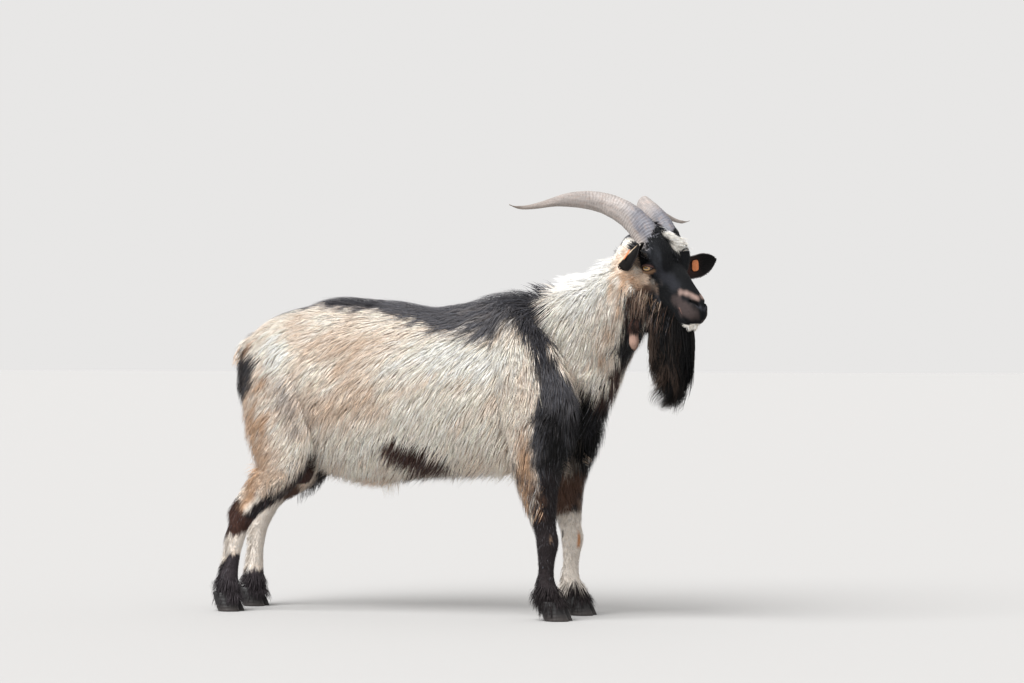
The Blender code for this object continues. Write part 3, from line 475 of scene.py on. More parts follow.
# each marking: its shade, which side of the goat, how soft its edge is, how
# ragged, and a chain of (x, outward, z, reach), in millimetres from the
# middle of the stance, outward being from the neck's and trunk's middle
markings = [
    # warm and pale clouds in the cream, with a painted highlight on the rump and a painted shadow before the
    # thigh
    ("sand", "both", 70, 40, [(-200, 130, 675, 20), (-40, 140, 665, 35), (60, 140, 655, 30)]),
    ("sand", "both", 70, 40, [(-60, 150, 600, 30), (-20, 150, 520, 30), (-200, 140, 520, 30)]),
    # pale hair over the top of the rump, whitened further as a painted highlight
    ("white", "both", 50, 30, [(-300, 120, 680, 34), (-270, 120, 655, 40), (-250, 120, 600, 20)]),
    ("white", "both", 70, 40, [(20, 150, 635, 20), (160, 140, 640, 50), (280, 130, 630, 50)]),
    ("pale", "both", 60, 35, [(100, 150, 500, 50), (250, 150, 540, 50), (300, 140, 500, 20)]),
    ("pale", "both", 50, 30, [(-180, 130, 420, 30), (0, 140, 440, 40), (220, 140, 440, 40)]),
    # painted shadow: grey in the hollow before the thigh
    ("grey", "both", 90, 40, [(-240, 140, 560, 6), (-210, 140, 480, 8)]),
    # tan of the buttock, thigh and elbow
    ("sand", "both", 50, 30, [(-360, 90, 580, 40), (-340, 120, 460, 60), (-320, 100, 360, 70)]),
    ("tan", "both", 35, 25, [(-375, 60, 645, 22), (-375, 80, 580, 22), (-365, 100, 480, 20)]),
    ("tan", "both", 50, 25, [(-330, 130, 470, 10), (-350, 110, 380, 20), (-350, 100, 320, 24)]),
    ("orange", "both", 30, 18, [(-365, 90, 655, 8), (-350, 110, 620, 10)]),
    ("tan", "both", 26, 15, [(375, 165, 540, 2), (372, 165, 480, 16), (368, 160, 420, 26),
        (362, 140, 360, 30)]),
    ("sand", "both", 30, 20, [(360, 150, 630, 10), (375, 160, 560, 12)]),
    ("tan", "both", 80, 40, [(-300, 130, 570, 4), (-310, 130, 470, 22), (-330, 110, 370, 26)]),
    ("white", "right", 14, 8, [(316, 137, 435, 10), (322, 135, 400, 10)]),
    # back stripe, and the black over the withers, lightened to slate and grey as a painted sheen of the sky
    # on black hair
    ("grey", "both", 24, 24, [(-360, 0, 730, 14), (-260, 0, 765, 50), (-170, 0, 770, 60), (0, 0, 750, 74)]),
    ("slateSheenDark", "both", 20, 24, [(-450, 0, 665, 10), (-400, 0, 700, 20), (-340, 0, 740, 32),
        (-260, 0, 765, 44), (-170, 0, 770, 50), (0, 0, 750, 66), (70, 0, 745, 86)]),
    ("slateSheenBlack", "both", 20, 24, [(60, 0, 745, 80), (160, 0, 745, 116), (240, 0, 755, 128),
        (300, 0, 770, 118)]),
    ("brown", "both", 20, 18, [(-430, 0, 675, 10), (-370, 0, 705, 18), (-310, 0, 735, 18)]),
    # shoulder band down to the chest, its black lightened to slate as a painted sheen
    ("slateSheenDark", "both", 12, 14, [(335, 30, 780, 60), (370, 80, 735, 50), (400, 118, 665, 35),
        (430, 135, 610, 37)]),
    ("slateSheenBlack", "both", 12, 14, [(430, 135, 600, 37), (452, 135, 560, 50), (460, 120, 500, 66),
        (450, 130, 430, 62), (445, 120, 360, 58)]),
    ("black", "both", 60, 20, [(440, 130, 500, 30), (440, 120, 400, 40)]),
    # painted shade: the chest's black darkened where it lies in shadow
    ("chestShadeBlack", "both", 40, 14, [(500, 30, 530, 60), (500, 40, 460, 80), (470, 40, 380, 80)]),
    ("pale", "both", 26, 30, [(205, 118, 690, 8), (250, 112, 708, 18), (300, 108, 716, 16)]),
    # painted sheen: grey over the black of the withers
    ("grey", "both", 50, 30, [(200, 60, 765, 16), (270, 90, 745, 12), (310, 80, 760, 10)]),
    # the collar of the neck
    ("pale", "both", 12, 14, [(448, 30, 790, 42), (462, 80, 735, 44), (498, 95, 675, 46),
        (530, 85, 625, 46), (545, 50, 600, 34)]),
    ("white", "both", 12, 14, [(460, 0, 800, 40), (540, 30, 780, 80), (600, 40, 840, 72)]),
    ("pale", "both", 12, 14, [(530, 70, 700, 60), (585, 85, 760, 45)]),
    ("white", "both", 40, 26, [(460, 0, 800, 30), (520, 0, 830, 50), (580, 10, 880, 40)]),
    ("sand", "both", 50, 30, [(590, 85, 820, 22), (582, 100, 730, 32), (555, 90, 640, 36)]),
    ("tan", "both", 40, 24, [(600, 85, 760, 10), (582, 90, 690, 16), (560, 80, 640, 14)]),
    ("sand", "both", 40, 24, [(500, 100, 740, 4), (520, 100, 670, 8)]),
    ("steel", "both", 16, 16, [(525, 0, 832, 6), (575, 0, 876, 30), (612, 5, 900, 40)]),
    ("tan", "both", 22, 18, [(612, 75, 820, 14), (598, 85, 760, 10), (590, 80, 700, 6)]),
    ("black", "both", 12, 10, [(640, 50, 765, 18), (632, 38, 725, 36), (622, 25, 680, 40),
        (600, 10, 640, 34)]),
    ("darkBrown", "both", 12, 12, [(600, 0, 630, 30), (570, 0, 585, 26), (545, 0, 555, 30)]),
    # belly
    ("darkBrown", "right", 4, 2, [(16, 145, 420, 30), (45, 140, 408, 44), (80, 125, 392, 48),
        (120, 110, 374, 46), (170, 95, 362, 36), (230, 75, 356, 28)]),
    ("pale", "right", 10, 6, [(-80, 90, 372, 28), (-20, 70, 350, 24), (40, 50, 334, 14)]),
    ("darkBrown", "both", 10, 8, [(60, 50, 350, 26), (200, 40, 352, 26), (260, 30, 360, 16)]),
    ("grey", "both", 22, 12, [(-120, 125, 425, 10), (-115, 100, 385, 16)]),
    ("sand", "both", 14, 10, [(-150, 0, 350, 30), (-20, 0, 330, 34)]),
    # forelegs
    # slate here as well: black lightened by a painted sheen
    ("slateSheenDark", "right", 14, 12, [(336, 130, 400, 8), (345, 120, 340, 12), (362, 110, 280, 10)]),
    ("legBlack", "right", 14, 14, [(435, 110, 350, 40), (420, 100, 290, 40), (408, 90, 240, 45),
        (405, 90, 30, 60)]),
    ("brown", "right", 20, 16, [(395, 135, 330, 10), (392, 120, 290, 12), (395, 115, 250, 4)]),
    ("tan", "right", 16, 14, [(360, 125, 335, 16), (362, 105, 290, 10)]),
    ("tan", "right", 5, 3, [(423.5, 112, 205, 5.5), (423.5, 112, 190, 5.5)]),
    ("brown", "left", 16, 12, [(385, 100, 330, 60), (390, 90, 285, 45)]),
    ("legBlack", "left", 8, 8, [(430, 75, 300, 16), (422, 72, 268, 14)]),
    ("legWhite", "left", 6, 8, [(397, 90, 222, 40), (403, 90, 140, 45), (404, 90, 105, 45)]),
    ("orange", "left", 6, 4, [(427.5, 78, 198, 6), (427.5, 78, 172, 6)]),
    ("legBlack", "left", 4, 3, [(386, 72, 200, 4), (386, 72, 192, 4)]),
    ("legBlack", "left", 6, 10, [(410, 90, 50, 34), (425, 90, 30, 40)]),
    # hind legs
    ("legBlack", "both", 12, 10, [(-195, 75, 410, 18), (-212, 85, 360, 26), (-260, 90, 300, 22)]),
    ("legBlack", "both", 12, 8, [(-268, 110, 296, 14), (-320, 110, 254, 22), (-365, 100, 220, 22)]),
    ("pale", "right", 8, 6, [(-238, 128, 430, 8), (-236, 122, 370, 8)]),
    ("darkBrown", "right", 10, 10, [(-395, 100, 262, 26), (-395, 90, 218, 44)]),
    ("tan", "right", 20, 12, [(-340, 115, 295, 16), (-370, 108, 262, 8)]),
    ("legWhite", "right", 6, 6, [(-385, 85, 180, 22), (-425, 85, 158, 26)]),
    ("pastern", "right", 6, 10, [(-410, 85, 98, 44), (-420, 85, 20, 60)]),
    ("brown", "left", 12, 12, [(-330, 90, 300, 40), (-360, 90, 280, 36)]),
    ("legWhite", "left", 8, 8, [(-385, 85, 250, 42), (-420, 85, 160, 45), (-424, 85, 135, 40)]),
    ("pastern", "left", 6, 8, [(-426, 85, 62, 40), (-430, 85, 20, 55)]),
    # under the tail
    ("legBlack", "both", 12, 14, [(-378, 45, 642, 20), (-382, 50, 610, 40), (-382, 50, 575, 44),
        (-375, 45, 540, 34)]),
    ("legBlack", "both", 12, 14, [(-405, 20, 655, 16), (-410, 20, 615, 36), (-400, 20, 575, 36)]),
    # slate here as well: black lightened by a painted sheen
    ("slateSheenDark", "both", 14, 12, [(-350, 115, 660, 18), (-356, 115, 620, 36), (-362, 110, 570, 28)]),
    ("pale", "both", 10, 10, [(-450, 0, 655, 12), (-452, 0, 615, 16), (-445, 0, 580, 20)]),
    ("darkBrown", "both", 8, 6, [(-266, 0, 400, 34), (-268, 0, 335, 50)]),
]
headMarkings = [
    # along, out to the side, above and reach, in the head's axes
    ("brown", "both", 24, 14, [(105, 45, -20, 22), (120, 40, -45, 24)]),
    ("faceBlack", "both", 22, 14, [(55, 0, 50, 52), (85, 20, 20, 50), (130, 10, 10, 64), (200, 0, -10, 62),
        (260, 0, -20, 55)]),
    ("faceBlack", "both", 8, 6, [(45, 60, 12, 22), (75, 58, -4, 18), (100, 56, 4, 16)]),
    ("faceBlack", "both", 10, 8, [(150, 30, -50, 26), (180, 20, -60, 34), (220, 10, -50, 30)]),
    ("faceBlack", "both", 6, 2, [(65, 33, 66, 14), (85, 32, 68, 16), (115, 30, 50, 14)]),
    ("faceBlack", "both", 8, 3, [(68, 48, 50, 22), (90, 50, 42, 22), (116, 44, 30, 20)]),
    # painted sheen: the temple and the side of the face lightened from black to slate
    ("templeSheen", "both", 24, 8, [(75, 50, 34, 14), (105, 46, 26, 12), (125, 45, 5, 8)]),
    ("slate", "both", 20, 8, [(130, 45, 5, 12), (170, 35, 5, 14)]),
    ("ash", "both", 24, 16, [(108, 57, -30, 14), (130, 50, -34, 14)]),
    ("brown", "both", 18, 14, [(112, 52, -45, 10), (128, 46, -50, 12), (130, 44, -68, 12)]),
    ("sand", "both", 30, 20, [(40, 64, -40, 34), (75, 62, -45, 28), (98, 56, -44, 12)]),
    ("tan", "both", 34, 24, [(60, 64, -60, 10), (85, 62, -56, 10), (106, 54, -56, 6)]),
    ("orange", "both", 16, 10, [(78, 60, -50, 2), (98, 55, -80, 3)]),
    ("sand", "both", 8, 6, [(100, 56, -26, 4), (118, 52, -30, 5)]),
    ("ash", "both", 20, 18, [(105, 54, -70, 10), (120, 46, -80, 6)]),
    ("steel", "both", 20, 18, [(140, 42, -70, 12), (170, 34, -68, 8)]),
    ("muzzle", "both", 12, 6, [(205, 30, -16, 12), (235, 28, -22, 16), (250, 20, -20, 18)]),
    ("nose", "both", 16, 5, [(200, 30, 4, 4), (218, 22, 14, 7), (230, 12, 16, 6)]),
    ("slate", "both", 6, 3, [(250, 14, 4, 6), (256, 4, -2, 6)]),
    ("pink", "both", 5, 2, [(221, 34, -28, 1.4), (234, 31, -33, 1.4)]),
    # painted shade: the mouth's line darkened to near black
    ("deep", "both", 3, 1, [(224, 34, -32, 1), (236, 31, -38, 1.8), (248, 26.5, -42, 1.8),
        (259, 16, -43.5, 1.5), (266, 0, -43.5, 1)]),
    ("white", "both", 5, 2, [(254, 14, -54, 8), (264, 4, -50, 12)]),
    ("steel", "both", 14, 12, [(-40, 0, 30, 34), (-12, 0, 45, 34)]),
    ("white", "left", 12, 6, [(50, 4, 66, 13), (80, 12, 60, 19)]),
    # painted shade: the nostrils darkened to near black
    ("deep", "both", 3, 1, [(231, 26.2, 3, 2), (237, 21.5, 5.5, 3.6), (244, 15, 6, 4), (250, 9.5, 3, 2.6)]),
]


def chainReach(points, chain):
    # how far a point is inside a chain of tapering capsules: the reach at the nearest place less the distance
    chain = np.asarray(chain, float) / 1000
    best = np.full(len(points), -1e3)
    for start, end in zip(chain[:-1], chain[1:]):
        step = end[:3] - start[:3]
        t = np.clip(((points - start[:3]) @ step) / max(step @ step, 1e-12), 0, 1)
        gap = np.linalg.norm(points - start[:3] - t[:, None] * step, axis=1)
        best = np.maximum(best, start[3] + t * (end[3] - start[3]) - gap)
    return best


streaks = dict(tilt=42, steeper=38, along=0.18, outward=0.5, warm=(0.10, 0.50), bright=(-0.10, -0.60),
               most=0.80)


def hairPlace(points):
    # where a point is along the lie of the hair, which steepens
    # over the shoulder and the legs, drawn out along it
    steep = past(points[:, 0], 0.30, 0.10) + past(0.40, points[:, 2], 0.10)
    tilt = np.radians(streaks["tilt"] + streaks["steeper"] * np.clip(steep, 0, 1))
    down = points[:, 0] * np.cos(tilt) + points[:, 2] * np.sin(tilt)
    across = points[:, 0] * np.sin(tilt) - points[:, 2] * np.cos(tilt)
    return np.stack([down * streaks["along"], across, points[:, 1] * streaks["outward"]], -1)


def paintMarkings(points):
    # cream streaked along the hair, then each marking over the ones before it, its share rising as 3 x
    # squared less 2 x cubed across its soft, ragged edge
    streakPlace = hairPlace(points)
    streak = 0.5 * ripple(streakPlace, 0.034, 51) + 0.5 * ripple(streakPlace, 0.012, 52)
    streak += 0.5 * ripple(points, 0.11, 53)
    warm, bright = (np.clip(base + gain * streak, 0, streaks["most"])[:, None]
                    for base, gain in (streaks["warm"], streaks["bright"]))
    colour = coatShades["cream"] + (coatShades["sand"] - coatShades["cream"]) * warm
    colour += (coatShades["white"] - coatShades["cream"]) * bright
    wobble = 0.40 * ripple(points, 0.045, 31) + 0.60 * ripple(streakPlace, 0.015, 32)
    inHead = toHead(points)
    onFace = (inHead[:, 0] > -0.05) & (inHead[:, 2] > -0.13) & (np.abs(inHead[:, 1]) < 0.12)
    onFace &= points[:, 0] > 0.55
    outwardPlace = points[:, 1] - np.interp(points[:, 0], *neckMiddle)
    inBody = np.stack([points[:, 0], outwardPlace, points[:, 2]], -1)
    for table, places, near in ((markings, inBody, np.ones(len(points), bool)),
                                (headMarkings, inHead, onFace)):
        places = places[near]
        folded = dict(both=mirrored(places), left=places, right=places * (1, -1, 1))
        for shade, sideName, soft, ragged, chain in table:
            inside = chainReach(folded[sideName], chain) + ragged / 1000 * wobble[near]
            share = np.clip(inside / (soft / 1000) + 0.5, 0, 1)
            share = (share * share * (3 - 2 * share))[:, None]
            colour[near] += (coatShades[shade] - colour[near]) * share
    return colour


# the skin: every sweep of flesh fused, then worked

skinPlan = dict(voxel=0.0023, relax=26, triangles=176000, headShare=0.85,
                skullRun=(0.045, 0.075, 0.075), skullIn=(0.020, 0.026, 0))
coatManner = dict(
    # lie: along the rings (1) or back up them (-1). fall: pull of gravity. long: hair length over coat depth
    trunk=dict(lie=-1, fall=1.0, long=2.2, lift=1.0),
    neck=dict(lie=-1, fall=1.5, long=2.2, lift=0.74),
    head=dict(lie=-1, fall=0.25, long=1.7, lift=0.8),
    poll=dict(lie=1, fall=-0.1, long=1.2, lift=0.7),
    hornFoot=dict(lie=-1, fall=0.0, long=2.2, lift=0.6),
    fore=dict(lie=1, fall=0.3, long=1.9, lift=0.9, back=0.45, above=0.42),
    hind=dict(lie=1, fall=0.5, long=1.95, lift=0.9, back=0.70, above=0.30),
    sheath=dict(lie=-1, fall=0.4, long=1.9, lift=1.0),
    scrotum=dict(lie=1, fall=0.5, long=1.5, lift=0.7),
    tail=dict(lie=1, fall=0.6, long=3.0, lift=0.75),
    wattle=dict(lie=1, fall=0.5, long=8.0, lift=1.6),
)
fleshParts = {
    "trunk": makePart(trunkRows), "neck": makePart(neckRows), "head": makePart(headRows, onHead),
    "poll": makePart(pollRows, onHead), "sheath": makePart(sheathRows), "scrotum": makePart(scrotumRows),
    "tail": makePart(tailRows),
}
for sideName, flip in sides:
    shank, tendon = (shankLeftRows, tendonLeftRows) if flip > 0 else (shankRightRows, tendonRightRows)
    fleshParts["fore_" + sideName] = makePart(foreRows, flip=flip)
    fleshParts["hind_" + sideName] = makePart(thighRows + shank, flip=flip)
    fleshParts["tendon_" + sideName] = makePart(tendon, flip=flip)
    fleshParts["hornFoot_" + sideName] = makePart(hornFootRows, onHead, flip=flip)
    fleshParts["brow_" + sideName] = makePart(browRows, onHead, flip=flip, steps=5)
    fleshParts["wattle_" + sideName] = makePart(wattleRows, fromThroat, flip=flip)
stage("sweeps ready")

# each push in millimetres: its name, its centre and reach in the head's axes (both sides), and how far out
facePushes = [
    ("eye hollow", (104, 60, -2), (22, 20, 16), -4.5),
    ("brow rim", (92, 46, 22), (22, 14, 8), 2.6),
    ("tear furrow", (130, 42, -10), (14, 12, 7), -2.2),
    ("cheekbone", (112, 52, -26), (28, 14, 7), 2.4),
    ("jaw muscle", (50, 60, -58), (30, 22, 28), 3.5),
    ("hollow before the jaw muscle", (128, 40, -45), (22, 18, 16), -3.5),
    ("nose bridge", (150, 0, 32), (40, 14, 20), 1.5),
    ("side of the nose", (175, 30, 8), (28, 14, 12), -2.2),
    ("nostril wing", (242, 17, 13), (12, 10, 6), 2.4),
    ("lower edge of the nostril", (243, 22, -4), (10, 9, 5), 1.8),
    ("upper lip", (238, 28, -28), (20, 12, 8), 1.8),
    ("chin", (240, 0, -62), (14, 20, 12), 2),
    ("corner of the mouth", (205, 34, -47), (8, 10, 6), -1.5),
]
bodyPushes = [
    ("hollow flank", (-135, 135, 620), (50, 50, 60), -10),
    ("point of the hip", (-235, 110, 700), (30, 30, 25), 5),
    ("shoulder blade", (310, 125, 640), (40, 30, 80), 4),
    ("hollow before the elbow", (300, 140, 420), (30, 40, 40), -5),
]
mouthLine = [(268, 0, -43.5), (259, 16, -43.5), (248, 26.5, -42), (236, 31, -38), (222, 33.5, -31)]
nostrilLine = [(231, 26.2, 3), (237, 21.5, 5.5), (244, 15, 6), (250, 9.5, 3)]


def workSkin(places, normals):
    # every push moves a point along its normal by its amount times exp of minus the squared distance in its
    # reaches, and every groove by its depth times exp of minus its distance over its half width, squared
    inHead = toHead(places)
    folded = mirrored(inHead)
    isHead = (inHead[:, 0] > -0.05) & (places[:, 0] > 0.56)
    out = np.zeros(len(places))
    for pushes, points, here in ((facePushes, folded, isHead), (bodyPushes, mirrored(places), ~isHead)):
        for name, centre, reach, amount in pushes:
            away = (points - np.array(centre) / 1000) / (np.array(reach) / 1000)
            out += here * amount / 1000 * np.exp(-(away**2).sum(1))
    for line, deep, wide in ((mouthLine, 0.0042, 0.0024), (nostrilLine, 0.0095, 0.0030)):
        away = chainReach(folded, [(*place, 0) for place in line])
        out -= isHead * deep * np.exp(-((away / wide) ** 2))
    # the cleft of the upper lip, then fine wrinkles over the nose
    out -= isHead * 0.0022 * np.exp(-((folded[:, 1] / 0.0022) ** 2)) * past(folded[:, 0], 0.252, 0.008)
    out += isHead * 0.0004 * ripple(folded, 0.011, 5) * past(folded[:, 0], 0.18, 0.04)
    return places + normals * out[:, None]


earPlan = dict(
    length=0.156, thick=0.0045, rings=54, around=26,
    left=dict(root=(0.050, 0.063, -0.041), along=(0.29, 0.95, 0.17), opening=(1, -0.2, -0.15), bow=-0.004,
              tag=0.60),
    right=dict(root=(0.024, -0.052, -0.050), along=(0.85, -0.46, 0.26), opening=(0.50, 0.62, -0.48),
               bow=0.0, tag=0.44),
)


def earAxes(ear):
    # the ear's root and its three directions: along it, across it, and the way its hollow faces
    along = unit(levelWithHead(ear["along"]))
    opening = levelWithHead(ear["opening"])
    opening = unit(opening - along * (opening @ along))
    return onHead(ear["root"]), along, np.cross(opening, along), opening


def earShape(ear):
    # a leaf rolled about its length: half its arc swells as a sine and closes as 1 - u to the 14, its roll
    # opens from 2.1 to 0.65 radians, and its outer wall lies off its inner one by a lens
    root, along, across, opening = earAxes(ear)
    u = np.linspace(0, 1, earPlan["rings"])
    swell = 0.105 + 0.115 * np.sin(math.pi * u**0.95) ** 0.9 * (1 - 0.05 * u)
    arc = earPlan["length"] * swell * (1 - u**14)
    arc = np.maximum(arc, earPlan["length"] * 0.012)
    roll = 2.1 - 1.45 * u**0.55
    v = np.linspace(-1, 1, earPlan["around"])
    wall = earPlan["thick"] * (0.30 + 0.70 * np.sqrt(1 - v**2))
    edgeWave = 0.0012 * np.sin(u * 19 + 1.0)[:, None] * np.abs(v) ** 3
    angle = roll[:, None] * v
    length = (earPlan["length"] * u)[:, None, None] * along
    shells = []
    for shift in (0, 1):
        radius = (arc / roll)[:, None] + shift * wall + edgeWave
        swing = radius * np.sin(angle) + ear["bow"] * np.sin(math.pi * u)[:, None]
        lift = (arc / roll)[:, None] - radius * np.cos(angle)
        shells.append(root + length + swing[..., None] * across + lift[..., None] * opening)
    grid = np.concatenate([shells[0], shells[1][:, ::-1]], axis=1)
    back = np.repeat([0.0, 1.0], len(v))
    place = np.stack(np.broadcast_arrays(u[:, None], np.concatenate([v, v[::-1]]), back), -1)
    return grid, place.reshape(-1, 3)


def earColour(sideName, place):
    # the near ear's back is tan with a black front half and tip, the far ear's brown at its root only, both
    # hollows dark with bare skin showing down the middle, and their edges greyed
    u, v, back = place.T
    rough = ripple(place * (1, 0.6, 1), 0.35, 12)
    shade = np.tile(coatShades["deep"] * 2.2, (len(place), 1))
    if sideName == "right":
        pale = np.clip((0.22 - v - 0.25 * u + 0.10 * rough) / 0.14, 0, 1) * past(0.86, u, 0.08) * back
        paleShade, rimShare = coatShades["earTan"] * 1.1, 0.15
        skinTone = past(0.30, u, 0.2) * (1 - back)
    else:
        pale = np.clip((0.35 - u + 0.1 * rough) / 0.15, 0, 1) * back
        paleShade, rimShare = coatShades["brown"], 0.55
        skinTone = past(0.42, np.abs(u - 0.30), 0.2) * (1 - back) * 0.6
    shade += (paleShade - shade) * pale[:, None]
    shade += (coatShades["lidPink"] * 0.55 - shade) * (skinTone * (1 - np.abs(v)))[:, None]
    rim = past(np.abs(v), 0.93, 0.05) * rimShare
    return shade + (coatShades["grey"] - shade) * rim[:, None]


earGrids = {name: earShape(earPlan[name]) for name in ("left", "right")}


def modify(obj, kind, **settings):
    made = obj.modifiers.new(kind, kind)
    for name, value in settings.items():
        setattr(made, name, value)


def makeSkin():
    shapes = []
    for name, part in fleshParts.items():
        if name == "head":
            # the coat stands off the back of the skull
            nearBack = np.clip(1 - part["run"][:, None] / skinPlan["skullRun"], 0, 1)
            part = dict(part, size=part["size"] - nearBack * skinPlan["skullIn"])
        around = 40 if len(part["centre"]) > 50 else 28
        shapes.append(outward(closedGrid(ringGrid(part, around, 2.2 if name == "head" else 2.0))))
    skin = newPiece("skin", joined(shapes), move=False)
    modify(skin, "REMESH", mode="VOXEL", voxel_size=skinPlan["voxel"])
    modify(skin, "SMOOTH", factor=0.5, iterations=skinPlan["relax"])
    settled(skin)
    mesh = skin.data
    mesh.vertices.foreach_set("co", workSkin(*meshArrays(mesh)).astype(np.float32).reshape(-1))
    mesh.update()
    # thinned where the coat hides it, and kept fine on the face
    places = meshArrays(mesh)[0]
    face = past(toHead(places)[:, 0], -0.01, 0.03) * (places[:, 0] > 0.58)
    group = skin.vertex_groups.new(name="face")
    for level in (0.5, 1.0):
        chosen = np.flatnonzero((face > level - 0.5) & (face <= level))
        group.add(chosen.tolist(), level, "REPLACE")
    modify(skin, "DECIMATE", ratio=skinPlan["triangles"] / (2 * len(mesh.polygons)), vertex_group="face",
           invert_vertex_group=True, vertex_group_factor=skinPlan["headShare"])
    settled(skin)
    skin.vertex_groups.clear()
    # the ears grow out of it
    for sideName, (grid, place) in earGrids.items():
        ear = newPiece("earLeaf", outward(closedGrid(grid)), move=False)
        modify(skin, "BOOLEAN", operation="UNION", solver="EXACT", object=ear)
        settled(skin)
        bpy.data.objects.remove(ear)
        if len(skin.data.polygons) < skinPlan["triangles"] / 2:
            raise RuntimeError("the " + sideName + " ear's union lost the body")
    skin.data.shade_smooth()
    return skin


skin = makeSkin()
stage(f"skin fused: {len(skin.data.polygons)} faces")

# how the coat lies: worked out at the skin's vertices from the nearest rings


def nearestRing(points, part):
    # the ring whose scaled distance is least: across over its size,
    # squared, plus along over six tenths of its mean size, squared
    value, ring = np.empty(len(points)), np.empty(len(points), int)
    size = part["size"]
    for start in range(0, len(points), 16000):
        chunk = slice(start, start + 16000)
        step = points[chunk, None] - part["centre"][None]
        along, across, above = ((step * part[key]).sum(-1) for key in ("tangent", "side", "up"))
        above = np.where(above > 0, above / size[:, 1], above / size[:, 2])
        measure = (across / size[:, 0]) ** 2 + above**2 + (along / (0.6 * size.mean(1))) ** 2
        ring[chunk] = measure.argmin(1)
        value[chunk] = np.sqrt(measure.min(1))
    return value, ring


def coatFields(points):
    # each part's lie, depth and length, blended by how near its own surface the point is: e to the minus
    # nine times the distance, in the ring's own sizes
    names = [name for name in fleshParts if not name.startswith(("brow", "tendon"))]
    x, z = points[:, 0], points[:, 2]
    down, backwards = np.array([0, 0, -1.0]), np.array([-1.0, 0, 0])
    values, lies, depths, lengths, lifts = [], [], [], [], []
    for name in names:
        part, manner = fleshParts[name], coatManner[name.split("_")[0]]
        isLeg = name.startswith(("fore", "hind"))
        value, ring = nearestRing(points, part)
        step, size, coat = points - part["centre"][ring], part["size"][ring], part["coat"][ring]
        cosine = (step * part["side"][ring]).sum(1) / size[:, 0]
        sine = (step * part["up"][ring]).sum(1)
        sine = np.where(sine > 0, sine / size[:, 1], sine / size[:, 2])
        spread = np.maximum(np.hypot(cosine, sine), 1e-6)
        cosine, sine = cosine / spread, sine / spread
        depth = np.sqrt((coat[:, 0] * cosine) ** 2 + (np.where(sine > 0, coat[:, 1], coat[:, 2]) * sine) ** 2)
        lie = part["tangent"][ring] * manner["lie"] + down * manner["fall"]
        if isLeg:
            # above that height the leg's hair also sweeps back, and it hangs over each coronet
            swept = past(z, manner["above"], 0.08) * manner["back"]
            swept = swept * np.clip((0.62 - z) / 0.10, 0.35, 1)
            lie = unit(lie) + backwards * swept[:, None]
            depth = np.maximum(depth, 0.0040 * past(0.075, z, 0.03))
        if name == "trunk":
            # the flank's hair turns from level under the back to nearly upright at the belly
            rump = past(-0.28, x, 0.08) * past(0.74, z, 0.06)
            lie = part["tangent"][ring] * -1 + down * (2.4 - 1.9 * past(z, 0.36, 0.36) + 2.5 * rump)[:, None]
        feather = 1 + 1.2 * past(0.11, z, 0.05) * isLeg
        values.append(value)
        lies.append(unit(lie))
        depths.append(depth)
        lengths.append(depth * manner["long"] * feather)
        lifts.append(np.full(len(points), manner["lift"]))
    values = np.array(values)
    weights = np.exp(-9 * (values - values.min(0)))
    weights /= weights.sum(0)
    lie = (np.array(lies) * weights[..., None]).sum(0)
    mixed = [(np.array(item) * weights).sum(0) for item in (depths, lengths, lifts)]
    return names, values.argmin(0), lie, *mixed


skinPlaces, skinNormals = meshArrays(skin.data)
partNames, partOf, lieAt, depthAt, lengthAt, liftAt = coatFields(skinPlaces)
skinColour = paintMarkings(skinPlaces)
headPlaces = toHead(skinPlaces)


def isPart(start, owner=partOf):
    # which of the owners, the skin's vertices' unless others are given, are parts whose names start so
    return np.array([name.startswith(start) for name in partNames])[owner]


def wattleColour(points):
    # pinkish below, lost in the throat's black hair above
    low = skinPlaces[isPart("wattle"), 2].min()
    share = np.clip((points[:, 2] - low - 0.030) / 0.010, 0, 1)[:, None]
    return linear("#9C8073") * (1 - share) + coatShades["faceBlack"] * share


skinColour = np.where(isPart("wattle")[:, None], wattleColour(skinPlaces), skinColour)
onEar = np.zeros(len(skinPlaces), bool)
for sideName, (grid, place) in earGrids.items():
    # a skin point within 1.5 mm of an ear's own grid is the ear's, and takes its shade there
    points = grid.reshape(-1, 3)
    near = np.flatnonzero(np.linalg.norm(skinPlaces - points.mean(0), axis=1) < 0.10)
    gap = ((skinPlaces[near, None] - points[None]) ** 2).sum(-1)
    closest = gap.argmin(1)
    mine = np.sqrt(gap.min(1)) < 0.0015
    onEar[near[mine]] = True
    skinColour[near[mine]] = earColour(sideName, place)[closest[mine]]
setColours(skin.data, skinColour)
stage("lie of the coat and markings worked out")


def faceTable(mesh):
    # triangles of the mesh, quads split, as vertex indices
    mesh.calc_loop_triangles()
    triangles = np.empty(len(mesh.loop_triangles) * 3, np.int32)
    mesh.loop_triangles.foreach_get("vertices", triangles)
    return triangles.reshape(-1, 3)


coatPlan = dict(longTufts=78000, shortTufts=25000, shortDepth=0.0085, steps=2, seed=8, pieceTriangles=180000,
                width=(0.0010, 0.036), stand=0.73, strays=0.030, cover=(1.8, 3.0), patch=0.003)


def scatter(triangles, places, density, count, source):
    # roots spread evenly over area times density: the running sum is cut in equal steps, each jittered
    a, b, c = (places[triangles[:, k]] for k in range(3))
    area = np.linalg.norm(np.cross(b - a, c - a), axis=1) / 2
    weight = area * density[triangles].mean(1)
    total = np.cumsum(weight)
    mark = (np.arange(count) + source.uniform(0, 1, count)) * total[-1] / count
    face = np.minimum(np.searchsorted(total, mark), len(triangles) - 1)
    u, v = source.uniform(0, 1, (2, count))
    fold = u + v > 1
    u, v = np.where(fold, 1 - u, u), np.where(fold, 1 - v, v)
    return face, np.stack([1 - u - v, u, v], -1)


def blendAt(values, triangles, face, share):
    # a vertex field at each root, by its shares of the triangle's corners
    corners = values[triangles[face]]
    return (corners * (share[..., None] if values.ndim > 1 else share)).sum(1)


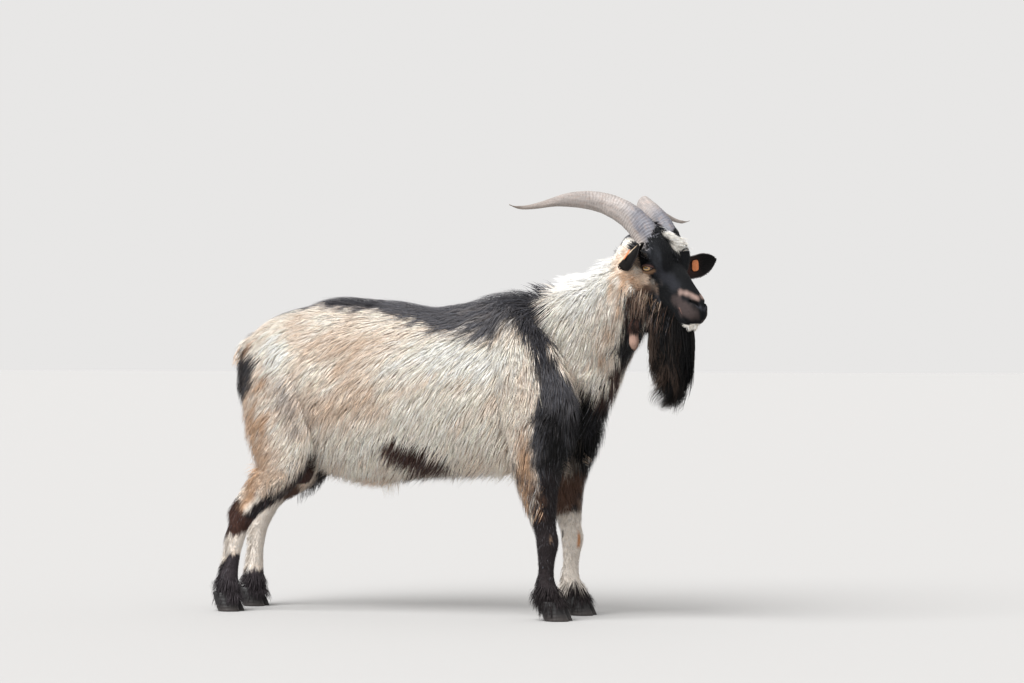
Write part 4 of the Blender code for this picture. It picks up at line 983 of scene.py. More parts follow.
def spikes(rings, tips, s, colour, tipColour, patch):
    # three-cornered tubes: quads from each ring to the next, a base and a point, shaded from root to tip,
    # and each laid on its own small patch of the bake map
    count, steps = rings.shape[:2]
    vertices = np.concatenate([rings.reshape(count, -1, 3), tips[:, None]], axis=1)
    index = np.arange(steps * 3).reshape(steps, 3)
    turned = np.roll(index, -1, axis=1)
    quads = np.stack([index[:-1], turned[:-1], turned[1:], index[1:]], -1).reshape(-1, 4)[:, ::-1]
    point = np.stack([index[-1], turned[-1], np.full(3, steps * 3)], -1)[:, ::-1]
    triangles = np.concatenate([point, index[:1]])
    offset = (np.arange(count) * (steps * 3 + 1))[:, None, None]
    shape = (vertices.reshape(-1, 3), (quads + offset).reshape(-1, 4), (triangles + offset).reshape(-1, 3))
    share = np.append(np.repeat(s[:-1], 3), 1.0)
    shade = colour[:, None] + (tipColour - colour)[:, None] * share[None, :, None]
    across = np.append(np.tile([-0.5, 0.5, 0.0], steps), 0.0)
    patches = patch[:, None] + coatPlan["patch"] * np.stack([across, share - 0.5], -1)[None]
    return shape, shade.reshape(-1, 3), patches.reshape(-1, 2)


def growTufts(roots, normals, lie, length, depth, width, colour, tipColour, patch, source, curl=0.0):
    # a tuft is a three-sided spike: along the lie by length times s, up by depth times 1 - (1 - s) to the
    # 1.7, down by gravity as s squared, its width falling as 1 - s to the 2.2
    lie = squareTo(lie, normals)
    side = np.cross(lie, normals)
    s = np.linspace(0, 1, coatPlan["steps"] + 1) ** 0.9
    reach = np.sqrt(np.maximum(length**2 - depth**2, (0.3 * length) ** 2))
    sway = source.normal(0, 1, len(roots)) * curl
    rise = 1 - (1 - s) ** 1.7
    centre = (roots[:, None] - normals[:, None] * 0.0012
              + lie[:, None] * (reach[:, None] * s)[..., None]
              + normals[:, None] * (depth[:, None] * rise)[..., None]
              + side[:, None] * ((sway * length)[:, None] * s**2)[..., None])
    centre[..., 2] -= length[:, None] * 0.10 * s**2
    breadth = (width[:, None] * (1 - s**2.2))[..., None] / 2
    rings = np.stack([centre - side[:, None] * breadth, centre + side[:, None] * breadth,
                      centre + normals[:, None] * breadth * 0.22], axis=2)[:, :-1]
    return spikes(rings, centre[:, -1], s, colour, tipColour, patch)


def hairPiece(name, slot, hair, replaces=()):
    # a piece of coat from its shape, shades and patches:
    # every corner of the bake map takes its vertex's place
    shape, shade, patches = hair
    mesh = newPiece(name, shape, coatHair, shade, slot, replaces).data
    corners = np.empty(len(mesh.loops), np.int32)
    mesh.loops.foreach_get("vertex_index", corners)
    layer = mesh.uv_layers.new(name="OFBake")
    layer.uv.foreach_set("vector", patches[corners].astype(np.float32).reshape(-1))


def tones(source, count, spread, least, most):
    # a lightness for each hair about 1
    return np.clip(1 + spread * source.normal(0, 1, count), least, most)[:, None]


def unwrapPlace(points, part):
    # an unrolled limb: along its run, and round it by angle times the ring's mean size
    value, ring = nearestRing(points, part)
    step = points - part["centre"][ring]
    angle = np.arctan2((step * part["up"][ring]).sum(1), (step * part["side"][ring]).sum(1))
    along = part["run"][ring] + (step * part["tangent"][ring]).sum(1)
    return np.stack([along, angle * part["size"][ring].mean(1)], -1)


def fitted(places):
    # moved and scaled alike both ways to fill the unit square, with a border
    low, high = places.min(0), places.max(0)
    return 0.01 + 0.98 * (places - low) / max((high - low).max(), 1e-6)


def node(tree, kind, inputs=None, links=None, **settings):
    made = tree.nodes.new(kind)
    for name, value in settings.items():
        setattr(made, name, value)
    for name, value in (inputs or {}).items():
        made.inputs[name].default_value = value
    for name, source in (links or {}).items():
        tree.links.new(source, made.inputs[name])
    return made


def newMaterial(name, values):
    # the values are set on the shader's own sockets
    material = bpy.data.materials.new(name)
    material.use_nodes = True
    tree = material.node_tree
    shader = tree.nodes["Principled BSDF"]
    for socket, value in values.items():
        shader.inputs[socket].default_value = value
    return material, tree, shader


def paintAndBump(tree, shader, colour=None, level=None, bump=None):
    # the point colours times the level, or a colour as it is, and the bump into the shader
    if level:
        shade = node(tree, "ShaderNodeAttribute", attribute_name="coatColour")
        mixed = node(tree, "ShaderNodeVectorMath", None, {0: shade.outputs["Color"], "Scale": level},
                     operation="SCALE")
        colour = mixed.outputs["Vector"]
    tree.links.new(colour, shader.inputs["Base Color"])
    if bump:
        tree.links.new(bump.outputs["Normal"], shader.inputs["Normal"])


def hairMaterial():
    # animal hair in tufts, grown: satin, the shade carried by
    # each tuft, mottled at about 12 mm and streaked at 1.5 mm
    material, tree, shader = newMaterial("goatHair", {"Roughness": 0.60, "Specular IOR Level": 0.08,
                                                      "Sheen Weight": 0.02, "Sheen Roughness": 0.5})
    place = node(tree, "ShaderNodeTexCoord").outputs["Object"]
    # strands of a third of a millimetre along each tuft's own patch
    patch = node(tree, "ShaderNodeUVMap", uv_map="OFBake")
    drawn = node(tree, "ShaderNodeMapping", {"Scale": (2300.0, 240.0, 1.0)}, {"Vector": patch.outputs["UV"]})
    levels, fields = [], []
    for scale, detail, vector, spread in ((80.0, 3.0, place, 0.06), (640.0, 2.0, place, 0.12),
                                          (1.0, 2.0, drawn.outputs["Vector"], 0.16)):
        field = node(tree, "ShaderNodeTexNoise", {"Scale": scale, "Detail": detail},
                     {"Vector": vector}).outputs["Fac"]
        level = node(tree, "ShaderNodeMapRange", {"From Min": 0.3, "From Max": 0.7, "To Min": 1 - spread,
                                                  "To Max": 1 + spread}, {"Value": field})
        fields.append(field)
        levels.append(level.outputs["Result"])
    both = node(tree, "ShaderNodeMath", None, {0: levels[0], 1: levels[1]}, operation="MULTIPLY")
    whole = node(tree, "ShaderNodeMath", None, {0: both.outputs[0], 1: levels[2]}, operation="MULTIPLY")
    bump = node(tree, "ShaderNodeBump", {"Strength": 0.35, "Distance": 0.0004}, {"Height": fields[2]})
    paintAndBump(tree, shader, level=whole.outputs[0], bump=bump)
    return material


def skinMaterial():
    # hide under short hair: matt, the coat's markings, with a hair-like grain of 1.2 mm in the bump
    material, tree, shader = newMaterial("goatHide", {"Roughness": 0.78, "Specular IOR Level": 0.07})
    place = node(tree, "ShaderNodeTexCoord")
    grain = node(tree, "ShaderNodeTexNoise", {"Scale": 830.0, "Detail": 3.0},
                 {"Vector": place.outputs["Object"]})
    bump = node(tree, "ShaderNodeBump", {"Strength": 0.35, "Distance": 0.0006},
                {"Height": grain.outputs["Fac"]})
    level = node(tree, "ShaderNodeMapRange",
                 {"From Min": 0.3, "From Max": 0.7, "To Min": 0.8, "To Max": 1.15},
                 {"Value": grain.outputs["Fac"]})
    paintAndBump(tree, shader, level=level.outputs["Result"], bump=bump)
    return material


coatHair = hairMaterial()
skin.data.materials.append(skinMaterial())


def growCoat():
    source = np.random.default_rng(coatPlan["seed"])
    triangles = faceTable(skin.data)
    # bare places: the nose pad, the lips, the eyelids and the ears
    bare = (headPlaces[:, 0] > 0.250) & (skinPlaces[:, 0] > 0.7) & (headPlaces[:, 2] > -0.040)
    eyeGap = np.linalg.norm(np.abs(headPlaces) * (1, 1, 0) + headPlaces * (0, 0, 1) - headPose["eye"], axis=1)
    bare = bare | (eyeGap < 0.019) | onEar
    short = depthAt < coatPlan["shortDepth"]
    width = coatPlan["width"][0] + depthAt * coatPlan["width"][1]
    # how many times over the tufts cover the skin: more where the coat is deep, on the head and on the neck
    cover = coatPlan["cover"][0] + coatPlan["cover"][1] * past(depthAt, 0.004, 0.016)
    cover = cover * np.where(isPart("head"), 2.0, np.where(isPart("neck"), 1.35, 1))
    density = cover / (width * np.maximum(lengthAt, 0.004)) * (1 - bare)
    perTuft = coatPlan["steps"] * 6 - 2
    made = 0
    for wanted, count in ((~short, coatPlan["longTufts"]), (short, coatPlan["shortTufts"])):
        face, share = scatter(triangles, skinPlaces, density * wanted, count, source)
        roots, normals, lie, depth, length, lift = (blendAt(field, triangles, face, share) for field in (
            skinPlaces, skinNormals, lieAt, depthAt, lengthAt, liftAt))
        normals = unit(normals)
        owner = partOf[triangles[face, 0]]
        clump = ripple(roots, 0.028, 3)
        swirl = ripple(roots, 0.060, 4) * 0.24 + ripple(roots, 0.018, 6) * 0.14
        swirl = swirl + source.normal(0, 0.08, count)
        lie = unit(lie) + np.cross(normals, unit(lie)) * swirl[:, None]
        tall = depth * lift * (coatPlan["stand"] + 0.05 * clump + source.uniform(-0.06, 0.09, count))
        longer = length * (1.05 + 0.12 * clump + source.uniform(-0.25, 0.30, count))
        stray = source.uniform(0, 1, count) < coatPlan["strays"]
        tall = np.where(stray, tall * 1.40, tall)
        wide = coatPlan["width"][0] + depth * coatPlan["width"][1]
        wide = wide * source.uniform(0.7, 1.25, count) * np.where(stray, 0.5, 1)
        colour = np.where(isPart("wattle", owner)[:, None], wattleColour(roots), paintMarkings(roots))
        # one dark tuft in eight is greyed, real grey hair; over the withers and back nearly half, the extra
        # grey a painted sheen of the sky on black hair
        chance = 0.12 + 0.33 * past(roots[:, 2], 0.62, 0.10) * (roots[:, 0] < 0.45)
        sheenGreyed = np.clip(1.3 - colour.mean(1) / 0.05, 0, 1) * (source.uniform(0, 1, count) < chance)
        sheenGreyed = sheenGreyed * source.uniform(0.1, 0.8, count) * (depth > 0.005)
        colour += (linear("#77777C") - colour) * sheenGreyed[:, None]
        tone = 1 + 0.055 * source.normal(0, 1, count) + 0.04 * clump
        warm = source.normal(0, 1, count)[:, None] * np.array([0.03, 0.0, -0.035])
        colour = np.clip(colour * tone[:, None] * (1 + warm), 0.003, 0.95)
        # painted shade deep in the coat: each tuft darker at its root than at its tip
        tip = np.clip(colour * 1.08 + 0.003, 0, 0.96)
        colour = colour * 0.96
        for number, name in enumerate(partNames):
            mine = np.flatnonzero(owner == number)
            if not len(mine):
                continue
            pieces = math.ceil(len(mine) * perTuft / coatPlan["pieceTriangles"])
            order = mine[np.argsort(roots[mine] @ np.array([0.7, 0.6, -0.4]))]
            for part in np.array_split(order, pieces):
                patch = fitted(unwrapPlace(roots[part], fleshParts[name]))
                hair = growTufts(roots[part], normals[part], lie[part], longer[part], tall[part], wide[part],
                                 colour[part], tip[part], patch, source, 0.05)
                hairPiece(f"coat_{name}_{made}", "cream_coat", hair)
                made += 1


growCoat()
stage("coat grown")

# horns

hornPlan = dict(length=0.418, depth=0.0375, thickness=0.024, taper=0.87, root=(0.050, 0.032, 0.037),
                sunk=0.040, heading=(11, 73), climb=(61, 16, 24), rings=330, sunkRings=24, around=60,
                ridges=56, ridgeHeight=0.0009, keel="#5C5E69", fleck="#DCD6D0", blotch="#8A7468",
                shades=("#A59E9B", "#A49C98", "#988D85"))


def hornMaterial():
    # keratin, worn dull: growth lines across it at 2 mm and splits
    # along it at 1 mm, finer towards the tip, in the horn's own place
    material, tree, shader = newMaterial("hornKeratin", {})
    place = node(tree, "ShaderNodeAttribute", attribute_name="hornPlace")
    fields = []
    for scale in ((500.0, 60.0, 60.0), (45.0, 900.0, 900.0)):
        drawn = node(tree, "ShaderNodeMapping", {"Scale": scale}, {"Vector": place.outputs["Vector"]})
        fields.append(node(tree, "ShaderNodeTexNoise", {"Scale": 1.0, "Detail": 3.0},
                           {"Vector": drawn.outputs["Vector"]}))
    both = node(tree, "ShaderNodeMath", None, {k: fields[k].outputs["Fac"] for k in (0, 1)}, operation="ADD")
    level, rough = (node(tree, "ShaderNodeMapRange",
                         {"From Min": 0.7, "From Max": 1.3, "To Min": low, "To Max": high},
                         {"Value": both.outputs[0]}) for low, high in ((0.72, 1.22), (0.62, 0.42)))
    bump = node(tree, "ShaderNodeBump", {"Strength": 0.6, "Distance": 0.0006}, {"Height": both.outputs[0]})
    paintAndBump(tree, shader, level=level.outputs["Result"], bump=bump)
    tree.links.new(rough.outputs["Result"], shader.inputs["Roughness"])
    return material


def hornShape(flip):
    # the running sum of directions whose heading swings from straight back to sideways while the climb
    # falls off; the section is an oval, drawn in to a keel in front, with ridges that fade towards the tip
    plan = hornPlan
    rings, around = plan["rings"], plan["around"]
    t = np.linspace(0, 1, rings)
    swing = past(t, 0.12, 0.62)
    heading = np.radians(plan["heading"][0] + plan["heading"][1] * swing**2 * (3 - 2 * swing))
    dip = np.sin(math.pi * past(t, 0.33, 0.72))
    climb = np.radians(plan["climb"][0] * (1 - t) ** 2.6 - plan["climb"][1] * dip + plan["climb"][2] * t**14)
    steps = np.stack([-np.cos(climb) * np.cos(heading), flip * np.cos(climb) * np.sin(heading),
                      np.sin(climb)], -1)
    run = np.cumsum(steps[:-1] + steps[1:], axis=0) / 2 * plan["length"] / (rings - 1)
    turn = levelTurn @ turnAbout("X", headPose["roll"])
    # the foot goes on straight down into the skull
    below = np.linspace(-1, 0, plan["sunkRings"], endpoint=False)[:, None] * plan["sunk"] * steps[:1]
    path = onHead(np.array(plan["root"]) * (1, flip, 1)) + np.vstack([below, [[0, 0, 0]], run]) @ turn.T
    t = np.concatenate([np.linspace(-0.096, 0, plan["sunkRings"], endpoint=False), t])
    tangent = unit(np.gradient(path, axis=0))
    side = squareTo(turn @ np.array([0, 1.0, 0]), tangent)
    up = np.cross(tangent, side)
    taper = np.maximum(np.clip(1 - np.maximum(t, 0), 0, 1) ** plan["taper"], 0.035)
    angle = np.linspace(0, 2 * math.pi, around, endpoint=False)
    cosine, sine = np.cos(angle), np.sin(angle)
    points = np.stack(np.broadcast_arrays(t[:, None] * 3, cosine, sine), -1).reshape(-1, 3)

    def noise(scale, seed, flat=1):
        return ripple(points * (1, flat, flat), scale, seed + flip).reshape(len(t), around)

    wander = noise(0.55, 41)
    bend = 0.35 * cosine**2 + 0.25 * np.sin(2 * angle)
    phase = 2 * math.pi * plan["ridges"] * (t[:, None] + 0.012 * bend)
    wave = (0.5 + 0.5 * np.sin(phase + 2.6 * wander)) ** 1.4
    coarse = (0.5 + 0.5 * np.sin(phase * 0.23 + 1.8 * wander)) ** 2
    fade = np.clip(1.15 - 1.55 * t, 0.10, 1)[:, None]
    ridge = plan["ridgeHeight"] * fade * (wave - 0.4 + 0.7 * (coarse - 0.3) + 0.5 * wander)
    wide = plan["thickness"] * taper[:, None] * cosine * (1 - 0.16 * np.clip(-sine, 0, 1) ** 3)
    tall = plan["depth"] * taper[:, None] * np.where(sine > 0, 1.0, 0.95) * sine
    outwards = unit(np.stack([cosine, sine], -1))
    wide, tall = wide + ridge * outwards[:, 0], tall + ridge * outwards[:, 1]
    grid = path[:, None] + side[:, None] * wide[..., None] + up[:, None] * tall[..., None]
    # shaded from foot to tip, darker on the keel, flecked pale behind it and blotched with brown
    base, middle, tip = (linear(shade) for shade in plan["shades"])
    place = np.clip(t, 0, 1)[:, None, None]
    colour = base + (middle - base) * np.clip(place * 3, 0, 1) + (tip - middle) * np.clip(place * 2 - 1, 0, 1)
    colour = np.broadcast_to(colour, grid.shape).copy()
    keel = np.clip(-sine + 0.30 + 0.25 * wander, 0, 1)[..., None] * np.clip(1.3 - 5 * place, 0, 1)
    colour += (linear(plan["keel"]) - colour) * np.clip(keel * 1.6, 0, 0.88)
    fleck = np.clip(noise(0.05, 45, 0.6) - 0.9, 0, 1)[..., None]
    behind = np.clip(sine + 0.4, 0, 1)[None, :, None]
    colour += (linear(plan["fleck"]) - colour) * fleck * behind * np.clip(1.2 - 2.5 * place, 0, 1)
    blotch = noise(0.16, 43, 0.5)
    # painted light and shade: lighter on the ridges' crests and darker between them, with random tone beside
    colour *= (0.84 + 0.26 * (wave - 0.4) * fade + 0.10 * wander + 0.08 * blotch)[..., None]
    colour += (linear(plan["blotch"]) - colour) * np.clip(blotch * 0.5 - 0.12, 0, 0.4)[..., None]
    own = np.stack(np.broadcast_arrays(t[:, None] * plan["length"], cosine * 0.03, sine * 0.03), -1)
    return grid, colour, own


hornFinish = hornMaterial()
for sideName, flip in sides:
    grid, colour, own = hornShape(flip)
    horn = newPiece("horn_ridged_" + sideName, outward(closedGrid(grid)), hornFinish, withEnds(colour),
                    "horn", ["horn_" + sideName])
    place = horn.data.attributes.new("hornPlace", "FLOAT_VECTOR", "POINT")
    place.data.foreach_set("vector", withEnds(own).astype(np.float32).reshape(-1))
stage("horns")

# hooves

hoofPlan = dict(length=dict(fore=0.060, hind=0.056), stanceX=dict(fore=0.427, hind=-0.420),
                stanceY=dict(fore=0.090, hind=0.085), lag=0.010, offset=0.0135, width=0.033, height=0.044)


def hoofMaterial():
    # claw horn: dark, ringed every 8 mm up its wall, scuffed pale with dust near the ground
    material, tree, shader = newMaterial("clawHorn", {"Roughness": 0.48})
    place = node(tree, "ShaderNodeTexCoord").outputs["Object"]
    parts = node(tree, "ShaderNodeSeparateXYZ", None, {"Vector": place})
    scuffs = node(tree, "ShaderNodeTexNoise", {"Scale": 140.0, "Detail": 5.0}, {"Vector": place})
    rings = node(tree, "ShaderNodeTexWave", {"Scale": 38.0, "Distortion": 2.5, "Detail": 2.0},
                 {"Vector": place}, bands_direction="Z")
    low = node(tree, "ShaderNodeMapRange",
               {"From Min": 0.0, "From Max": 0.020, "To Min": 0.75, "To Max": 0.0},
               {"Value": parts.outputs["Z"]})
    dust = node(tree, "ShaderNodeMath", None, {0: low.outputs["Result"], 1: scuffs.outputs["Fac"]},
                operation="MULTIPLY")
    ramp = node(tree, "ShaderNodeValToRGB", None, {"Fac": dust.outputs[0]})
    stops = ramp.color_ramp.elements
    stops[0].color, stops[1].color = (*linear("#151314"), 1), (*linear("#3A3330"), 1)
    stops[1].position = 0.55
    height = node(tree, "ShaderNodeMath", None, {0: rings.outputs["Fac"], 1: scuffs.outputs["Fac"]},
                  operation="ADD")
    bump = node(tree, "ShaderNodeBump", {"Strength": 0.5, "Distance": 0.0005}, {"Height": height.outputs[0]})
    paintAndBump(tree, shader, ramp.outputs["Color"], bump=bump)
    return material


def clawShape(x, y, way, length):
    # a pointed sole, flatter on its inner side, whose wall leans back and draws in
    # towards the coronet, bulged at mid height, with its lowest edge rounded off
    angle = np.linspace(0, 2 * math.pi, 48, endpoint=False)
    front = np.cos(angle)
    bulge = np.where(np.sin(angle) > 0, 1.0, 0.42) * np.sin(angle)
    planX = length / 2 * front
    planY = hoofPlan["width"] * 0.62 * bulge * (1 - 0.32 * np.clip(front, 0, 1) ** 2)
    level = np.concatenate([[0, 0, 0.02, 0.05], np.linspace(0.1, 1.0, 14), [1.06, 1.08]])[:, None]
    edge = np.concatenate([[0.90, 0.955, 0.985, 1.0], np.ones(14), [0.93, 0.80]])[:, None]
    z = hoofPlan["height"] * level
    swell = 1 + 0.03 * np.sin(math.pi * np.clip(level, 0, 1)) + 0.008 * np.sin(level * 34)
    ringX = x - 0.42 * z + 0.006 + planX * (1 - 0.13 * level) * edge * swell
    ringY = y + way * planY * (1 - 0.10 * level) * edge * swell
    return np.stack([ringX, ringY, np.broadcast_to(z, ringX.shape)], -1)


hoofFinish = hoofMaterial()
for limb in ("fore", "hind"):
    for sideName, flip in sides:
        x = hoofPlan["stanceX"][limb] - (hoofPlan["lag"] if (limb, sideName) == ("hind", "left") else 0)
        for place, way in (("outer", flip), ("inner", -flip)):
            y = flip * hoofPlan["stanceY"][limb] + way * hoofPlan["offset"]
            shape = outward(closedGrid(clawShape(x, y, way, hoofPlan["length"][limb])))
            ending = f"{limb}_{sideName}_{place}"
            newPiece("claw_" + ending, shape, hoofFinish, None, "hoof", ["hoof_" + ending])

# tags

tagPlan = dict(width=0.018, height=0.027, thick=0.0018, pin=0.0025, back=-0.0052, hollow=0.0034,
               shade="#D07A45")


def tagMaterial():
    # moulded orange plastic, sun-faded in clouds of 6 mm, its faces faintly uneven
    material, tree, shader = newMaterial("fadedOrangePlastic", {"Roughness": 0.42})
    place = node(tree, "ShaderNodeTexCoord")
    cloud = node(tree, "ShaderNodeTexNoise", {"Scale": 160.0, "Detail": 4.0},
                 {"Vector": place.outputs["Object"]})
    ramp = node(tree, "ShaderNodeValToRGB", None, {"Fac": cloud.outputs["Fac"]})
    for stop, position, level in zip(ramp.color_ramp.elements, (0.3, 0.7), (0.80, 1.15)):
        stop.position = position
        stop.color = (*np.clip(linear(tagPlan["shade"]) * level, 0, 1), 1)
    bump = node(tree, "ShaderNodeBump", {"Strength": 0.25, "Distance": 0.0003},
                {"Height": cloud.outputs["Fac"]})
    paintAndBump(tree, shader, ramp.outputs["Color"], bump=bump)
    return material


def tagShape(ear):
    # two rounded plates on a pin: superellipses of power 0.6,
    # drawn in at each plate's edges, and circles between
    root, along, across, opening = earAxes(ear)
    bow = across * ear["bow"] * math.sin(math.pi * ear["tag"])
    middle = root + along * earPlan["length"] * ear["tag"] + bow
    angle = np.linspace(0, 2 * math.pi, 56, endpoint=False)
    cosine, sine = np.cos(angle), np.sin(angle)
    pin = np.stack([cosine, sine], -1) * tagPlan["pin"]
    plate = np.stack([np.sign(cosine) * np.abs(cosine) ** 0.6, np.sign(sine) * np.abs(sine) ** 0.6], -1)
    plate = plate * (tagPlan["width"] / 2, tagPlan["height"] / 2)
    back, hollow, thick = tagPlan["back"], tagPlan["hollow"], tagPlan["thick"]
    rings = [(back - thick, plate * 0.94), (back - thick + 0.0004, plate), (back - 0.0003, plate),
             (back, plate * 0.97),
             (back, pin), (hollow, pin), (hollow, plate * 0.97), (hollow + 0.0003, plate),
             (hollow + thick - 0.0004, plate), (hollow + thick, plate * 0.94)]
    return np.array([middle + ring @ np.array([along, across]) + opening * level for level, ring in rings])


tagFinish = tagMaterial()
for sideName, flip in sides:
    shape = outward(closedGrid(tagShape(earPlan[sideName])))
    newPiece("tag_plates_" + sideName, shape, tagFinish, None, "ear_tag", ["tag_" + sideName])

# eyes and lids

eyePlan = dict(out=(0.30, 1.0, 0.16), slant=33, halfWidth=0.0122, upper=0.0036, lower=0.0056, iris=0.0092,
               pupil=(0.0052, 0.0017), amber="#C09A62", rust="#8A5E2C", slit="#0B0A0C", edge="#2A1D16",
               white="#8E7C70")


def eyeAxes(flip):
    # the way the eye looks, the level line of its slit, and up across it
    out = unit(headTurn @ (np.array(eyePlan["out"]) * (1, flip, 1)))
    level = headTurn @ np.array([math.cos(math.radians(eyePlan["slant"])), 0,
                                 math.sin(math.radians(eyePlan["slant"]))])
    level = unit(level - out * (level @ out))
    up = np.cross(out, level)
    return onHead(np.array(headPose["eye"]) * (1, flip, 1)), out, level, up * np.sign(up[2])


def eyeMaterial():
    # a wet cornea over a fibrous amber iris with a level slit, fibres at 0.7 mm
    material, tree, shader = newMaterial("wetAmberEye", {"Roughness": 0.12, "Coat Weight": 1.0,
                                                         "Coat Roughness": 0.03})
    place = node(tree, "ShaderNodeTexCoord")
    fibre = node(tree, "ShaderNodeTexNoise", {"Scale": 1400.0, "Detail": 2.0},
                 {"Vector": place.outputs["Object"]})
    level = node(tree, "ShaderNodeMapRange", {"From Min": 0.3, "From Max": 0.7, "To Min": 0.8, "To Max": 1.2},
                 {"Value": fibre.outputs["Fac"]})
    paintAndBump(tree, shader, level=level.outputs["Result"])
    return material


def eyeShape(flip):
    # rings about the line of sight: a ball whose cornea stands 0.4 mm proud inside the iris's edge
    centre, out, level, up = eyeAxes(flip)
    radius = headPose["eyeRadius"]
    bend = np.linspace(0.004, math.pi - 0.02, 110)
    turn = np.linspace(0, 2 * math.pi, 96, endpoint=False)
    across = radius * np.sin(bend)[:, None]
    proud = 0.0004 * np.clip(1 - (across / eyePlan["iris"]) ** 2, 0, 1) * (bend[:, None] < 1.4)
    x, y = across * np.cos(turn), across * np.sin(turn)
    forward = radius * np.cos(bend)[:, None] + proud
    grid = centre + x[..., None] * level + y[..., None] * up + forward[..., None] * out
    # amber to rust outwards in fibres, then the slit, the iris's edge and the white
    spread = across / eyePlan["iris"] * np.ones_like(x)
    amber, rust, slitShade, edge, white = (linear(eyePlan[key])
                                           for key in ("amber", "rust", "slit", "edge", "white"))
    colour = amber + (rust - amber) * np.clip(spread, 0, 1)[..., None] ** 2
    colour = colour * (1 + 0.18 * np.sin(turn * 37 + 3 * np.sin(turn * 5)))[None, :, None]
    slit = (np.abs(x) / eyePlan["pupil"][0]) ** 4 + (np.abs(y) / eyePlan["pupil"][1]) ** 4
    colour = np.where((slit < 1)[..., None] & (bend < 1.4)[:, None, None], slitShade, colour)
    colour = colour + (edge - colour) * past(spread, 0.93, 0.08)[..., None]
    outside = (past(spread, 1.12, 0.15) + (bend > 1.4)[:, None]).clip(0, 1)[..., None]
    return grid, colour + (white - colour) * outside


def lidShape(flip):
    # a rim round an almond opening: each ring steps out from it, first on the
    # ball, then on the soft maximum of the ball and the face, whose height is the
    # bell-weighted mean of the skin's; a second layer under it closes the shape
    centre, out, level, up = eyeAxes(flip)
    radius, plan = headPose["eyeRadius"], eyePlan
    turn = np.linspace(0, 2 * math.pi, 88, endpoint=False)
    sine = np.sin(turn)
    rise = np.where(sine > 0, plan["upper"] * np.abs(sine) ** 0.8, -plan["lower"] * np.abs(sine) ** 1.1)
    contour = np.stack([plan["halfWidth"] * np.cos(turn), rise], -1)
    away = unit(np.stack([np.cos(turn) * 0.75, sine], -1))
    # how far out each ring is and how thick the lid is there, in millimetres
    step = np.array([-0.8, 0, 0.4, 1.0, 1.8, 2.8, 4.0, 5.2, 6.5, 8.0, 9.8, 11.8, 14.0]) / 1000
    thick = np.array([-0.4, 0.2, 1.1, 1.7, 1.8, 1.6, 1.2, 1.2, 1.2, 1.0, 0.8, 0.6, 0.4]) / 1000
    rings = step[:, None]
    flat = contour[None] + step[:, None, None] * away[None]
    square = (flat**2).sum(-1)
    ball = np.sqrt(np.maximum((radius + thick[:, None]) ** 2 - square, 0))
    ball = ball - 0.6 * np.clip(np.sqrt(square) - radius, 0, 1)
    near = np.flatnonzero(np.linalg.norm(skinPlaces - centre, axis=1) < 0.045)
    near = near[skinNormals[near] @ out > 0.15]
    local = skinPlaces[near] - centre
    local = np.stack([local @ level, local @ up, local @ out], -1)
    weight = np.exp(-((flat[..., None, :] - local[None, None, :, :2]) ** 2).sum(-1) / 0.003**2)
    face = (weight * local[:, 2]).sum(-1) / np.maximum(weight.sum(-1), 1e-9)
    share = past(rings, 0, 0.0135)
    share = share**2 * (3 - 2 * share)
    # the folds of the lids, then the upper lid's fullness: how high, where and how wide in millimetres, and
    # which side of the eye, as a multiple of the height in it
    relief = 0
    for high, where, wide, here in ((-1.0, 4.6, 1.1, 1.5), (-0.7, 5.0, 1.0, -1.4), (-0.6, 8.5, 1.2, -1.2),
                                    (1.2, 2.4, 1.6, 1.5)):
        fold = np.exp(-(((rings - where / 1000) / (wide / 1000)) ** 2))
        relief = relief + high / 1000 * fold * np.clip(sine * here, 0, 1)
    sheet = face + 0.0022 * (1 - share)
    soft = 0.0011
    drape = soft * np.logaddexp(ball / soft, sheet / soft)
    height = np.where(rings <= 0.0011, ball, drape) + relief - np.where(rings > 0.013, 0.0024, 0)
    top = centre + flat[..., :1] * level + flat[..., 1:] * up + height[..., None] * out
    under = top - out * np.where(step < 0.001, 0.0006, 0.0022)[:, None, None]
    # dark rims, bare pink above, tan below, and the face's own shades further out
    own = paintMarkings(top.reshape(-1, 3)).reshape(top.shape)
    shade = np.tile(linear("#1B1718"), (*flat.shape[:2], 1))
    pinkBand = np.exp(-(((rings - 0.0030) / 0.0018) ** 2))
    for tone, here in ((coatShades["lidPink"], pinkBand * np.clip(sine * 1.2, 0, 1) * 0.75),
                       (linear("#8F7158"), past(rings, 0.0012, 0.002) * np.clip(-sine * 2 + 0.1, 0, 1)
                        * 0.85),
                       (coatShades["faceBlack"], past(rings, 0.006, 0.004) * np.clip(sine * 2 + 0.3, 0, 1)),
                       (own, past(rings, 0.0055, 0.006))):
        shade = shade + (tone - shade) * here[..., None]
    grain = ripple(flat.reshape(-1, 2) @ np.eye(2, 3), 0.003, 9).reshape(flat.shape[:2])
    shade = shade * (1 + 0.12 * grain)[..., None]
    # painted shade under the lid: its under layer takes six tenths of its shades
    return np.concatenate([top, under[::-1]]), np.concatenate([shade, shade[::-1] * 0.6])


def wrappedFaces(rings, around):
    # quads of a grid that closes on itself both ways
    index = np.arange(rings * around).reshape(rings, around)
    down, turned = np.roll(index, -1, axis=0), np.roll(index, -1, axis=1)
    return np.stack([index, down, np.roll(down, -1, axis=1), turned], -1).reshape(-1, 4)


eyeFinish = eyeMaterial()
lidPieces = []
for sideName, flip in sides:
    grid, colour = eyeShape(flip)
    newPiece("eyeball_" + sideName, outward(closedGrid(grid)), eyeFinish, withEnds(colour), "amber_eye",
             ["eye_" + sideName])
    grid, colour = lidShape(flip)
    shape = outward((grid.reshape(-1, 3), wrappedFaces(*grid.shape[:2]), np.zeros((0, 3), int)))
    lidPieces.append(newPiece("lids", shape, skin.data.materials[0], colour.reshape(-1, 3), move=False))
stage("hooves, tags and eyes")
